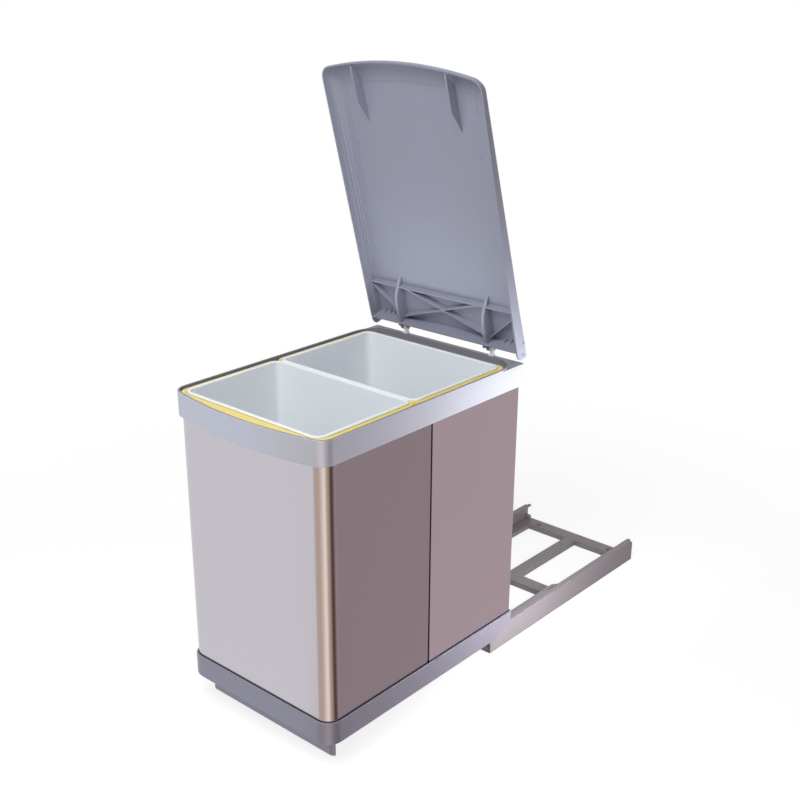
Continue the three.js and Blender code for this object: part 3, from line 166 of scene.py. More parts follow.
# ---------------------------------------------------------------- settings
class WasteBinColours(bpy.types.PropertyGroup):
    """Colours of the finishes, as linear values."""

    steel: bpy.props.FloatVectorProperty(
        name="Steel",
        description="Stainless sheet",
        subtype="COLOR",
        default=(0.66, 0.625, 0.65),
    )
    collar: bpy.props.FloatVectorProperty(
        name="Collar",
        description="Top collar moulding",
        subtype="COLOR",
        default=(0.62, 0.655, 0.745),
    )
    # Painted shade: a darker grey for the collar's inward faces, standing for the shade under the
    # lid.
    collar_inside: bpy.props.FloatVectorProperty(
        name="Collar inside",
        description="Unpainted deck, shelf and inner walls of the collar",
        subtype="COLOR",
        default=(0.23, 0.23, 0.275),
    )
    tray: bpy.props.FloatVectorProperty(
        name="Tray",
        description="Base tray moulding",
        subtype="COLOR",
        default=(0.325, 0.32, 0.395),
    )
    lid: bpy.props.FloatVectorProperty(
        name="Lid",
        description="Lid moulding",
        subtype="COLOR",
        default=(0.282, 0.294, 0.374),
    )
    rails: bpy.props.FloatVectorProperty(
        name="Floor frame",
        description="Floor frame and rails",
        subtype="COLOR",
        default=(0.28, 0.25, 0.27),
    )
    bucket: bpy.props.FloatVectorProperty(
        name="Buckets",
        description="Bluish white buckets",
        subtype="COLOR",
        default=(0.90, 0.925, 0.95),
    )
    ring: bpy.props.FloatVectorProperty(
        name="Bag rings",
        description="Yellow bag rings",
        subtype="COLOR",
        default=(0.88, 0.72, 0.20),
    )
    post: bpy.props.FloatVectorProperty(
        name="Hinge posts",
        description="White hinge posts",
        subtype="COLOR",
        default=(0.86, 0.86, 0.87),
    )


class WasteBinSizes(bpy.types.PropertyGroup):
    """Edge radii of the finished pieces."""

    sheet_edge: bpy.props.FloatProperty(
        name="Sheet edge",
        description="Rounding of the steel's cut edges",
        default=0.2 * MM,
        unit="LENGTH",
    )
    moulding_edge: bpy.props.FloatProperty(
        name="Moulding edge",
        description="Rounding of the mouldings' edges",
        default=0.5 * MM,
        unit="LENGTH",
    )
    lid_edge: bpy.props.FloatProperty(
        name="Lid edge",
        description="Rounding of the lid's rim and ribs",
        default=0.4 * MM,
        unit="LENGTH",
    )
    rail_edge: bpy.props.FloatProperty(
        name="Rail edge",
        description="Rounding of the rails and the floor frame",
        default=0.6 * MM,
        unit="LENGTH",
    )
    bucket_edge: bpy.props.FloatProperty(
        name="Bucket edge",
        description="Rounding of the buckets' lips",
        default=0.5 * MM,
        unit="LENGTH",
    )
    small_edge: bpy.props.FloatProperty(
        name="Small edge",
        description="Rounding of rollers, pins and posts",
        default=0.25 * MM,
        unit="LENGTH",
    )


class WasteBinStudio(bpy.types.PropertyGroup):
    """Levels of the studio lights."""

    key: bpy.props.FloatProperty(
        name="Key",
        description="Soft light from high up in front",
        default=21.0,
        unit="POWER",
    )
    side: bpy.props.FloatProperty(
        name="Side",
        description="Low light close to the right side",
        default=1.8,
        unit="POWER",
    )
    mouth: bpy.props.FloatProperty(
        name="Mouth",
        description="Soft light into the open mouth",
        default=3.3,
        unit="POWER",
    )
    bounce: bpy.props.FloatProperty(
        name="Bounce",
        description="Light that the white buckets throw on the lid",
        default=0.22,
        unit="POWER",
    )
    sky: bpy.props.FloatProperty(
        name="Sky",
        description="Strength of the even surrounding light",
        default=0.31,
        min=0.0,
    )


def colours():
    return bpy.context.scene.waste_bin_colours


def sizes():
    return bpy.context.scene.waste_bin_sizes


def studio():
    return bpy.context.scene.waste_bin_studio


# ---------------------------------------------------------------- node helpers
def new_group(name, inputs, outputs):
    """A shader node group with typed sockets; returns its tree and its two end nodes."""
    tree = bpy.data.node_groups.new(name, "ShaderNodeTree")
    for label, kind, default in inputs:
        socket = tree.interface.new_socket(label, in_out="INPUT", socket_type=kind)
        if default is not None:
            socket.default_value = default
    for label, kind in outputs:
        tree.interface.new_socket(label, in_out="OUTPUT", socket_type=kind)
    return tree, tree.nodes.new("NodeGroupInput"), tree.nodes.new("NodeGroupOutput")


def add_node(tree, kind, **settings):
    node = tree.nodes.new(kind)
    for name, value in settings.items():
        setattr(node, name, value)
    return node


def noise(tree, vector, scale, detail=3.0, roughness=0.5):
    node = add_node(tree, "ShaderNodeTexNoise")
    node.inputs["Detail"].default_value = detail
    node.inputs["Roughness"].default_value = roughness
    if isinstance(scale, (int, float)):
        node.inputs["Scale"].default_value = scale
    else:
        tree.links.new(scale, node.inputs["Scale"])
    tree.links.new(vector, node.inputs["Vector"])
    return node.outputs["Fac"]


def maths(tree, operation, first, second=None, third=None):
    node = add_node(tree, "ShaderNodeMath", operation=operation)
    for socket, value in zip(node.inputs, (first, second, third)):
        if value is None:
            continue
        if isinstance(value, (int, float)):
            socket.default_value = value
        else:
            tree.links.new(value, socket)
    return node.outputs[0]


def ramped(tree, value, low, high, to_low=0.0, to_high=1.0):
    node = add_node(tree, "ShaderNodeMapRange", interpolation_type="SMOOTHSTEP")
    limits = {"From Min": low, "From Max": high, "To Min": to_low, "To Max": to_high}
    for name, number in limits.items():
        if isinstance(number, (int, float)):
            node.inputs[name].default_value = number
        else:
            tree.links.new(number, node.inputs[name])
    tree.links.new(value, node.inputs["Value"])
    return node.outputs["Result"]


def shaded(tree, colour, factor):
    """The colour made lighter or darker by a factor around one."""
    node = add_node(tree, "ShaderNodeVectorMath", operation="SCALE")
    tree.links.new(colour, node.inputs[0])
    tree.links.new(factor, node.inputs["Scale"])
    return node.outputs[0]


def blended(tree, first, second):
    """Six tenths of one noise and four tenths of another."""
    six = maths(tree, "MULTIPLY", first, 0.6)
    four = maths(tree, "MULTIPLY", second, 0.4)
    return maths(tree, "ADD", six, four)


def object_coordinates(tree, stretch=(1.0, 1.0, 1.0)):
    place = add_node(tree, "ShaderNodeTexCoord")
    mapping = add_node(tree, "ShaderNodeMapping")
    mapping.inputs["Scale"].default_value = stretch
    tree.links.new(place.outputs["Object"], mapping.inputs["Vector"])
    return mapping.outputs["Vector"]


# ---------------------------------------------------------------- surface effects
SURFACE_OUTPUTS = (
    ("Color", "NodeSocketColor"),
    ("Roughness", "NodeSocketFloat"),
    ("Height", "NodeSocketFloat"),
)


def moulded_surface_group():
    """Fine spark-eroded grain, faint flow mottling and handling marks of an injection moulding."""
    tree, start, end = new_group(
        "Moulded surface",
        [
            ("Color", "NodeSocketColor", (0.5, 0.5, 0.5, 1.0)),
            ("Roughness", "NodeSocketFloat", 0.45),
            ("Mottle", "NodeSocketFloat", 0.05),
            ("Grain Scale", "NodeSocketFloat", 1400.0),
            ("Rubbing", "NodeSocketFloat", 0.06),
        ],
        SURFACE_OUTPUTS,
    )
    where = object_coordinates(tree)
    broad = noise(tree, where, 6.0, 2.0)
    flow = noise(tree, object_coordinates(tree, (9.0, 9.0, 30.0)), 1.0, 3.0)
    grain = noise(tree, where, start.outputs["Grain Scale"], 1.0)
    marks = noise(tree, object_coordinates(tree, (260.0, 34.0, 34.0)), 1.0, 4.0, 0.62)
    rubbed = ramped(tree, marks, 0.60, 0.76)
    cloud = blended(tree, broad, flow)
    swing = maths(tree, "MULTIPLY", maths(tree, "SUBTRACT", cloud, 0.5), start.outputs["Mottle"])
    lightness = maths(tree, "ADD", swing, 1.0)
    scuffed = maths(tree, "MULTIPLY", rubbed, start.outputs["Rubbing"])
    lightness = maths(tree, "ADD", lightness, scuffed)
    centred = maths(tree, "SUBTRACT", cloud, 0.5)
    rough = maths(tree, "MULTIPLY_ADD", centred, 0.22, start.outputs["Roughness"])
    rough = maths(tree, "ADD", rough, maths(tree, "MULTIPLY", rubbed, 0.08))
    tree.links.new(shaded(tree, start.outputs["Color"], lightness), end.inputs["Color"])
    tree.links.new(rough, end.inputs["Roughness"])
    tree.links.new(grain, end.inputs["Height"])
    return tree


def rolled_sheet_group():
    """Stainless sheet: fine grain along the sheet's height, soft clouding, a few wipe marks,
    painted shade on the right flank ahead of the lapped seam and a painted shade line along the
    seam.
    """
    tree, start, end = new_group(
        "Rolled sheet",
        [
            ("Color", "NodeSocketColor", (0.6, 0.6, 0.6, 1.0)),
            ("Roughness", "NodeSocketFloat", 0.3),
            ("Grain", "NodeSocketFloat", 0.08),
            ("Lap Tone", "NodeSocketFloat", 1.0),
            ("Seam", "NodeSocketFloat", 0.0),
        ],
        SURFACE_OUTPUTS,
    )
    lines = noise(tree, object_coordinates(tree, (1900.0, 1900.0, 14.0)), 1.0, 2.0)
    wide_lines = noise(tree, object_coordinates(tree, (240.0, 240.0, 2.2)), 1.0, 2.0)
    cloud = noise(tree, object_coordinates(tree), 5.0, 2.0)
    wipes = noise(tree, object_coordinates(tree, (30.0, 30.0, 9.0)), 1.0, 3.0, 0.6)
    grain = blended(tree, lines, wide_lines)
    centred = maths(tree, "SUBTRACT", grain, 0.5)
    lightness = maths(tree, "MULTIPLY_ADD", centred, start.outputs["Grain"], 1.0)
    lightness = maths(tree, "MULTIPLY_ADD", maths(tree, "SUBTRACT", cloud, 0.5), 0.02, lightness)
    parts = add_node(tree, "ShaderNodeSeparateXYZ")
    tree.links.new(object_coordinates(tree), parts.inputs[0])
    corner, edge = SHELL_BOX[0][1], SHELL_BOX[1][0]
    # Painted shade: the right flank from just past the front corner to the seam is darkened.
    flank = maths(tree, "GREATER_THAN", parts.outputs["X"], edge - LAP_REACH)
    ahead = maths(tree, "LESS_THAN", parts.outputs["Y"], LAP_Y)
    past_corner = ramped(tree, parts.outputs["Y"], corner + 0.3 * LAP_REACH, corner + LAP_REACH)
    lapped = maths(tree, "MULTIPLY", maths(tree, "MULTIPLY", flank, ahead), past_corner)
    lap_shade = maths(tree, "MULTIPLY", lapped, maths(tree, "SUBTRACT", start.outputs["Lap Tone"], 1.0))
    lightness = maths(tree, "MULTIPLY", lightness, maths(tree, "ADD", lap_shade, 1.0))
    # Painted shade: a thin line along the seam is darkened.
    off_seam = maths(tree, "ABSOLUTE", maths(tree, "SUBTRACT", parts.outputs["Y"], LAP_Y))
    seam_shade = ramped(tree, off_seam, 0.3 * SEAM_LINE, SEAM_LINE, 1.0, 0.0)
    seam_shade = maths(tree, "MULTIPLY", maths(tree, "MULTIPLY", seam_shade, flank), start.outputs["Seam"])
    lightness = maths(tree, "MULTIPLY", lightness, maths(tree, "SUBTRACT", 1.0, seam_shade))
    rough = maths(tree, "MULTIPLY_ADD", centred, 0.05, start.outputs["Roughness"])
    rough = maths(tree, "ADD", rough, ramped(tree, wipes, 0.55, 0.75, 0.0, 0.03))
    tree.links.new(shaded(tree, start.outputs["Color"], lightness), end.inputs["Color"])
    tree.links.new(rough, end.inputs["Roughness"])
    tree.links.new(lines, end.inputs["Height"])
    return tree


def group_for(name, build):
    return bpy.data.node_groups.get(name) or build()


def finished(name, group_name, build, colour, values, bump, **shader):
    """A Principled material whose colour, roughness and bump come from one surface group."""
    existing = bpy.data.materials.get(name)
    if existing:
        return existing
    material = bpy.data.materials.new(name)
    material.use_nodes = True
    tree = material.node_tree
    principled = tree.nodes["Principled BSDF"]
    surface = add_node(tree, "ShaderNodeGroup", node_tree=group_for(group_name, build))
    surface.inputs["Color"].default_value = (*colour, 1.0)
    for label, value in values.items():
        surface.inputs[label].default_value = value
    tree.links.new(surface.outputs["Color"], principled.inputs["Base Color"])
    tree.links.new(surface.outputs["Roughness"], principled.inputs["Roughness"])
    relief = add_node(tree, "ShaderNodeBump")
    relief.inputs["Strength"].default_value = bump
    relief.inputs["Distance"].default_value = 0.1 * MM
    tree.links.new(surface.outputs["Height"], relief.inputs["Height"])
    tree.links.new(relief.outputs["Normal"], principled.inputs["Normal"])
    for label, value in shader.items():
        principled.inputs[label.replace("_", " ")].default_value = value
    return material


def moulding(name, colour, roughness, bump=0.25, mottle=0.05, **shader):
    values = {"Roughness": roughness, "Mottle": mottle}
    return finished(name, "Moulded surface", moulded_surface_group, colour, values, bump, **shader)


def collar_plastic():
    return moulding("collar_silver_paint", colours().collar, 0.32, Metallic=0.5)


# Painted shade for the collar's deck, shelf and inner walls.
def collar_inside_shade_plastic():
    return moulding("collar_inside", colours().collar_inside, 0.42)


def tray_plastic():
    return moulding("tray_silver_paint", colours().tray, 0.34, Metallic=0.45)


def lid_plastic():
    return moulding("lid_satin", colours().lid, 0.38)


def frame_plastic():
    return moulding("frame_satin", colours().rails, 0.42, 0.35, 0.09)


def bucket_plastic():
    paint = colours().bucket
    return moulding("bucket_milk_white", paint, 0.38, 0.15, 0.03, Subsurface_Weight=0.08)


def ring_plastic():
    return moulding("bag_ring_yellow", colours().ring, 0.40, 0.2, 0.04)


def post_plastic():
    return moulding("hinge_post_white", colours().post, 0.35, 0.15, 0.03)


def roller_nylon():
    return moulding("roller_nylon", (0.72, 0.72, 0.70), 0.45, 0.2, 0.05)


def sheet(name, colour, values, bump):
    return finished(name, "Rolled sheet", rolled_sheet_group, colour, values, bump, Metallic=1.0)


def shell_steel():
    # The lap and seam values darken parts of the right flank as painted shade.
    values = {"Roughness": 0.15, "Grain": 0.03, "Lap Tone": 0.68, "Seam": 0.8}
    return sheet("shell_sheet", colours().steel, values, 0.05)


# Plated zinc, coloured darker than plain zinc as painted shade for the runners in the gap under the
# tray.
def zinc_steel():
    return sheet("zinc_plated", (0.36, 0.35, 0.36), {"Roughness": 0.38, "Grain": 0.25}, 0.1)


FINISHES = {
    "shell_steel": shell_steel,
    "collar_plastic": collar_plastic,
    "tray_plastic": tray_plastic,
    "lid_plastic": lid_plastic,
    "frame_plastic": frame_plastic,
    "bucket_plastic": bucket_plastic,
    "ring_plastic": ring_plastic,
    "post_plastic": post_plastic,
    "roller_nylon": roller_nylon,
    "zinc_steel": zinc_steel,
}


# ---------------------------------------------------------------- modelling helpers
def alone(piece):
    """Leaves only this object selected and active."""
    bpy.ops.object.select_all(action="DESELECT")
    piece.select_set(True)
    bpy.context.view_layer.objects.active = piece


def apply_bevel(piece, width, segments):
    """Rounds the active piece's edges."""
    modifier = piece.modifiers.new("edge", "BEVEL")
    modifier.width = width
    modifier.segments = segments
    modifier.limit_method = "ANGLE"
    modifier.angle_limit = BEVEL_FROM
    modifier.harden_normals = False
    bpy.ops.object.modifier_apply(modifier=modifier.name)


def finish_piece(piece, node, material):
    """Gives a piece its finish and lets it stand for a node, on the node's body."""
    piece.data.materials.clear()
    piece.data.materials.append(material)
    alone(piece)
    bpy.ops.object.shade_smooth_by_angle(angle=SMOOTH)
    even = piece.modifiers.new("even", "WEIGHTED_NORMAL")
    even.keep_sharp = True
    bpy.ops.object.modifier_apply(modifier=even.name)
    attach(piece, NODES[node]["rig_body"])
    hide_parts(node)


def rounded_from(node, name, width, before=None):
    """A welded copy of a node's mesh, with flat faces joined and its edges rounded."""
    mesh = NODES[node].data.copy()
    mesh.name = name
    piece = bpy.data.objects.new(name, mesh)
    bpy.context.scene.collection.objects.link(piece)
    alone(piece)
    bpy.ops.object.mode_set(mode="EDIT")
    bpy.ops.mesh.select_all(action="SELECT")
    bpy.ops.mesh.remove_doubles(threshold=WELD)
    bpy.ops.mesh.customdata_custom_splitnormals_clear()
    bpy.ops.mesh.dissolve_limited(angle_limit=FLAT)
    bpy.ops.object.mode_set(mode="OBJECT")
    if before:
        before(piece)
    apply_bevel(piece, width, 2)
    finish_piece(piece, node, FINISHES[SLOTS[node]]())
    return piece


def slab(low, high):
    """A block between two corners, with its place in its mesh."""
    bpy.ops.object.select_all(action="DESELECT")
    middle = (Vector(low) + Vector(high)) / 2
    bpy.ops.mesh.primitive_cube_add(size=1.0, location=middle)
    piece = bpy.context.object
    piece.scale = Vector(high) - Vector(low)
    bpy.ops.object.transform_apply(location=True, rotation=True, scale=True)
    return piece


def united(pieces):
    """Joins overlapping solids to one and returns it."""
    first = pieces[0]
    for other in pieces[1:]:
        alone(first)
        modifier = first.modifiers.new("joined", "BOOLEAN")
        modifier.operation = "UNION"
        modifier.solver = "EXACT"
        modifier.object = other
        bpy.ops.object.modifier_apply(modifier=modifier.name)
        bpy.data.objects.remove(other)
    return first


def done(pieces):
    if not all(pieces):
        raise RuntimeError("a piece could not be made")
    return {"FINISHED"}


# ---------------------------------------------------------------- pieces
class WASTEBIN_OT_steel_shell(bpy.types.Operator):
    """The bent stainless sheet with its lapped seam"""

    bl_idname = "waste_bin.steel_shell"
    bl_label = "Steel shell"

    def execute(self, context):
        return done([rounded_from("steel_shell", "shell_sheet", sizes().sheet_edge)])


class WASTEBIN_OT_base_tray(bpy.types.Operator):
    """The tray round the steel's foot, with its skirt"""

    bl_idname = "waste_bin.base_tray"
    bl_label = "Base tray"

    def execute(self, context):
        return done([rounded_from("base_tray", "tray_moulding", sizes().moulding_edge)])


def shade_collar_inside(collar):
    """Painted shade: past the rim, the deck, shelf and inner walls that face inward take a darker
    grey for the shade under the lid.
    """
    collar.data.materials.append(collar_inside_shade_plastic())
    low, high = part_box("top_collar")
    middle = (Vector(low) + Vector(high)) / 2
    for face in collar.data.polygons:
        out = face.center - middle
        out.z = 0.0
        faces_in = face.normal.dot(out.normalized()) < 0.3
        on_rim = face.center.z > high[2] - RIM_BEFORE_SHADE and (
            abs(face.center.x) > high[0] - RIM_BEFORE_SHADE or face.center.y < low[1] + 4 * RIM_BEFORE_SHADE
        )
        if faces_in and not on_rim:
            face.material_index = 1


class WASTEBIN_OT_top_collar(bpy.types.Operator):
    """The collar round the top, with its rear deck and its two screws"""

    bl_idname = "waste_bin.top_collar"
    bl_label = "Top collar"

    def execute(self, context):
        collar = rounded_from("top_collar", "collar_moulding", sizes().moulding_edge)
        shade_collar_inside(collar)
        made = [collar]
        for side in SIDES:
            node = f"{side}_collar_screw"
            made.append(rounded_from(node, f"{side}_deck_screw", sizes().small_edge))
        return done(made)


def lid_place():
    """From the lid's own frame to the room: X across, Y to the free edge, Z out of the dish."""
    return Matrix.Translation(HINGE) @ Matrix.Rotation(math.radians(180 - LID_OPEN), 4, "X")


def soften_ears(lid):
    """Rolls the ears' outer edges over, as the dish's own edge does."""
    to_lid = lid_place().inverted()
    back = lid_place()
    half = max(abs(value) for value in (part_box("lid")[0][0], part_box("lid")[1][0]))
    for vertex in lid.data.vertices:
        place = to_lid @ vertex.co
        outward = (abs(place.x) - (half - EAR_THICK)) / EAR_THICK
        if outward > -0.05 and place.y < EAR_REACH and place.z < LID_TOP + EAR_EDGE:
            share = min(max(outward, 0.0), 1.0)
            place.z += EAR_ROLL_IN + (EAR_ROLL_OUT - EAR_ROLL_IN) * share
            vertex.co = back @ place


def bead_front(x):
    return BEAD_FRONT - BEAD_BOW * (x / BEAD_HALF) ** 2


def bead_points():
    """The embossed line on the lid's plate: along both sides and round the bowed front."""
    inner = BEAD_HALF - BEAD_CORNER
    turns = [math.pi / 2 * i / BEAD_CORNER_STEPS for i in range(BEAD_CORNER_STEPS + 1)]
    points = [(-BEAD_HALF, BEAD_REAR_LEFT)]
    for turn in turns:
        x = -inner - BEAD_CORNER * math.cos(turn)
        points.append((x, bead_front(inner) - BEAD_CORNER * (1 - math.sin(turn))))
    for i in range(1, BEAD_FRONT_STEPS):
        x = -inner + 2 * inner * i / BEAD_FRONT_STEPS
        points.append((x, bead_front(x)))
    for turn in turns:
        x = inner + BEAD_CORNER * math.sin(turn)
        points.append((x, bead_front(inner) - BEAD_CORNER * (1 - math.cos(turn))))
    points.append((BEAD_HALF, BEAD_REAR_RIGHT))
    return points


def on_lid(piece, name):
    """Moves a piece from the lid's own frame to its place and lets it ride on the lid."""
    piece.name = name
    piece.data.transform(lid_place())
    piece.data.materials.clear()
    piece.data.materials.append(lid_plastic())
    alone(piece)
    bpy.ops.object.shade_smooth_by_angle(angle=SMOOTH)
    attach(piece, NODES["lid"]["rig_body"])
    return piece


def lid_bead():
    """The embossed line as a thin round bead, half sunk in the plate."""
    curve = bpy.data.curves.new("lid_bead", "CURVE")
    curve.dimensions = "3D"
    curve.bevel_depth = BEAD_RADIUS
    curve.bevel_resolution = 2
    curve.use_fill_caps = True
    points = bead_points()
    line = curve.splines.new("POLY")
    line.points.add(len(points) - 1)
    for point, (x, along) in zip(line.points, points):
        point.co = (x, along, PLATE_INSIDE, 1.0)
    bead = bpy.data.objects.new("lid_bead", curve)
    bpy.context.scene.collection.objects.link(bead)
    alone(bead)
    bpy.ops.object.convert(target="MESH")
    return on_lid(bpy.context.object, "lid_bead")


def lid_marks():
    """Two ticks beside the bead and the gate mark in the middle of the plate."""
    made = []
    for side, (x, along) in TICKS.items():
        middle = Vector((x, along, PLATE_INSIDE))
        tick = slab(middle - TICK_HALF, middle + TICK_HALF)
        alone(tick)
        apply_bevel(tick, TICK_EDGE, 2)
        made.append(on_lid(tick, f"lid_tick_{side}"))
    bpy.ops.object.select_all(action="DESELECT")
    bpy.ops.mesh.primitive_cylinder_add(
        vertices=24, radius=GATE_RADIUS, depth=GATE_HEIGHT, location=(0.0, GATE_ALONG, PLATE_INSIDE)
    )
    gate = bpy.context.object
    bpy.ops.object.transform_apply(location=True, rotation=True, scale=True)
    apply_bevel(gate, GATE_EDGE, 2)
    made.append(on_lid(gate, "lid_gate_mark"))
    return made


class WASTEBIN_OT_lid(bpy.types.Operator):
    """The pillow-edged lid with its fins and ribs"""

    bl_idname = "waste_bin.lid"
    bl_label = "Lid"

    def execute(self, context):
        dish = rounded_from("lid", "lid_moulding", sizes().lid_edge, before=soften_ears)
        return done([dish, lid_bead(), *lid_marks()])


def hinge_lug(side):
    """A white lug beside the lid's fin: a foot on the deck and a leg with a round boss."""
    node = f"{side}_hinge_post"
    low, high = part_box(node)
    outer, deck = high[0], low[2]
    inner = (low[0] + outer) / 2 + LUG_GAP
    bpy.ops.object.select_all(action="DESELECT")
    bpy.ops.mesh.primitive_cylinder_add(
        vertices=BOSS_SIDES,
        radius=BOSS_RADIUS,
        depth=outer - inner,
        location=((outer + inner) / 2, HINGE.y, HINGE.z),
        rotation=(0.0, math.pi / 2, 0.0),
    )
    boss = bpy.context.object
    bpy.ops.object.transform_apply(location=True, rotation=True, scale=True)
    wide = LEG_HALF + FOOT_WIDER
    foot = slab(
        (inner - FOOT_IN, HINGE.y - wide, deck),
        (outer - FOOT_SHORT, HINGE.y + wide, deck + FOOT_THICK),
    )
    leg = slab(
        (inner + LEG_SINK, HINGE.y - LEG_HALF, deck + LEG_LIFT),
        (outer - LEG_SHORT, HINGE.y + LEG_HALF, HINGE.z),
    )
    lug = united([boss, leg, foot])
    lug.name = f"{side}_hinge_lug"
    alone(lug)
    apply_bevel(lug, LUG_EDGE, 3)
    finish_piece(lug, node, FINISHES[SLOTS[node]]())
    return lug


class WASTEBIN_OT_hinges(bpy.types.Operator):
    """The hinge lugs on the deck and their pins"""

    bl_idname = "waste_bin.hinges"
    bl_label = "Hinges"

    def execute(self, context):
        made = []
        for side in SIDES:
            made.append(hinge_lug(side))
            pin = f"{side}_hinge_pin"
            made.append(rounded_from(pin, f"{side}_pivot", sizes().small_edge))
        return done(made)


class WASTEBIN_OT_buckets(bpy.types.Operator):
    """The two lift-out buckets and the bag rings under their lips"""

    bl_idname = "waste_bin.buckets"
    bl_label = "Buckets and bag rings"

    def execute(self, context):
        made = []
        for place in ("front", "rear"):
            edge = sizes().bucket_edge
            made.append(rounded_from(f"{place}_bucket", f"{place}_waste_bucket", edge))
            made.append(rounded_from(f"{place}_bag_ring", f"{place}_ring", edge))
        return done(made)


def split_grid(grid):
    """Cuts the frame's flat faces along its windows' edges, so that each has a plain outline."""
    cuts = [((x, 0.0, 0.0), (1.0, 0.0, 0.0)) for x in GRID_X]
    cuts += [((0.0, y, 0.0), (0.0, 1.0, 0.0)) for y in GRID_Y]
    alone(grid)
    bpy.ops.object.mode_set(mode="EDIT")
    for place, across in cuts:
        bpy.ops.mesh.select_all(action="SELECT")
        bpy.ops.mesh.bisect(plane_co=place, plane_no=across)
    bpy.ops.object.mode_set(mode="OBJECT")


class WASTEBIN_OT_floor_frame(bpy.types.Operator):
    """The grid on the cabinet floor and the two rails"""

    bl_idname = "waste_bin.floor_frame"
    bl_label = "Floor frame and rails"

    def execute(self, context):
        edge = sizes().rail_edge
        made = [rounded_from("floor_frame", "floor_grid", edge, before=split_grid)]
        for side in SIDES:
            made.append(rounded_from(f"{side}_rail", f"{side}_channel", edge))
        return done(made)


RUNNER_NODES = (
    "middle_runner",
    "bin_runner",
    "rail_roller",
    "rail_roller_pin",
    "middle_rear_roller",
    "middle_rear_pin",
    "middle_front_roller",
    "middle_front_pin",
    "bin_roller",
    "bin_roller_pin",
)


class WASTEBIN_OT_runners(bpy.types.Operator):
    """The runners, rollers and pins that the bin travels on"""

    bl_idname = "waste_bin.runners"
    bl_label = "Roller runners"

    def execute(self, context):
        made = []
        for side in SIDES:
            for node in RUNNER_NODES:
                piece = f"{side}_{node}"
                made.append(rounded_from(piece, f"{piece}_finished", sizes().small_edge))
        return done(made)


# ---------------------------------------------------------------- stage
def soft_light(name, power):
    """One of the studio's lamps, which metal doesn't mirror and the camera doesn't see."""
    place, target, width, height = LAMPS[name]
    bpy.ops.object.light_add(type="AREA", location=place)
    lamp = bpy.context.object
    lamp.name = name
    lamp.data.shape = "RECTANGLE"
    lamp.data.size = width
    lamp.data.size_y = height
    lamp.data.energy = power
    lamp.visible_glossy = False
    lamp.visible_camera = False
    lamp.rotation_euler = (Vector(target) - Vector(place)).to_track_quat("-Z", "Y").to_euler()
    return lamp


# Tones of the room round the bin, as metal shows them: degrees from the front towards the right.
ROOM_TONES = (
    (-180, (0.80, 0.78, 0.80)),
    (-100, (0.84, 0.84, 0.88)),
    (-46, (0.84, 0.84, 0.88)),
    (-24, (0.60, 0.52, 0.47)),
    (6, (0.66, 0.50, 0.40)),
    (28, (0.92, 0.76, 0.66)),
    (42, (1.15, 1.02, 0.95)),
    (52, (1.00, 0.90, 0.84)),
    (64, (0.62, 0.48, 0.38)),
    (80, (0.50, 0.34, 0.25)),
    (91, (0.13, 0.08, 0.07)),
    (108, (0.15, 0.10, 0.09)),
    (126, (0.52, 0.425, 0.45)),
    (176, (0.55, 0.45, 0.475)),
)


def room_tone_group():
    """The room's tone in a direction on the floor, seen from the bin's front right corner."""
    tree, start, end = new_group(
        "Room tone", [("Vector", "NodeSocketVector", None)], [("Color", "NodeSocketColor")]
    )
    parts = add_node(tree, "ShaderNodeSeparateXYZ")
    tree.links.new(start.outputs["Vector"], parts.inputs[0])
    ahead = maths(tree, "MULTIPLY", parts.outputs["Y"], -1.0)
    angle = maths(tree, "ARCTAN2", parts.outputs["X"], ahead)
    share = maths(tree, "MULTIPLY_ADD", angle, 1 / (2 * math.pi), 0.5)
    ramp = add_node(tree, "ShaderNodeValToRGB")
    tree.links.new(share, ramp.inputs["Fac"])
    stops = ramp.color_ramp.elements
    stops.remove(stops[1])
    for i, (degrees, tone) in enumerate(ROOM_TONES):
        place = (degrees + 180) / 360
        stop = stops[0] if i == 0 else stops.new(place)
        stop.position = place
        stop.color = (*tone, 1.0)
    tree.links.new(ramp.outputs["Color"], end.inputs["Color"])
    return tree


def clear_rays(tree):
    """The light path, and whether a ray comes from the camera or through glass."""
    path = add_node(tree, "ShaderNodeLightPath")
    camera, passed = path.outputs["Is Camera Ray"], path.outputs["Is Transmission Ray"]
    return path, maths(tree, "MAXIMUM", camera, passed)


def seen_tone(tree, vector):
    """White for the camera and through glass, the room's tone for metal."""
    room = add_node(tree, "ShaderNodeGroup", node_tree=group_for("Room tone", room_tone_group))
    tree.links.new(vector, room.inputs["Vector"])
    path, clear = clear_rays(tree)
    shown = add_node(tree, "ShaderNodeMix", data_type="RGBA")
    tree.links.new(clear, shown.inputs["Factor"])
    tree.links.new(room.outputs["Color"], shown.inputs["A"])
    shown.inputs["B"].default_value = (1.0, 1.0, 1.0, 1.0)
    seen = maths(tree, "MAXIMUM", clear, path.outputs["Is Glossy Ray"])
    return shown.outputs["Result"], seen


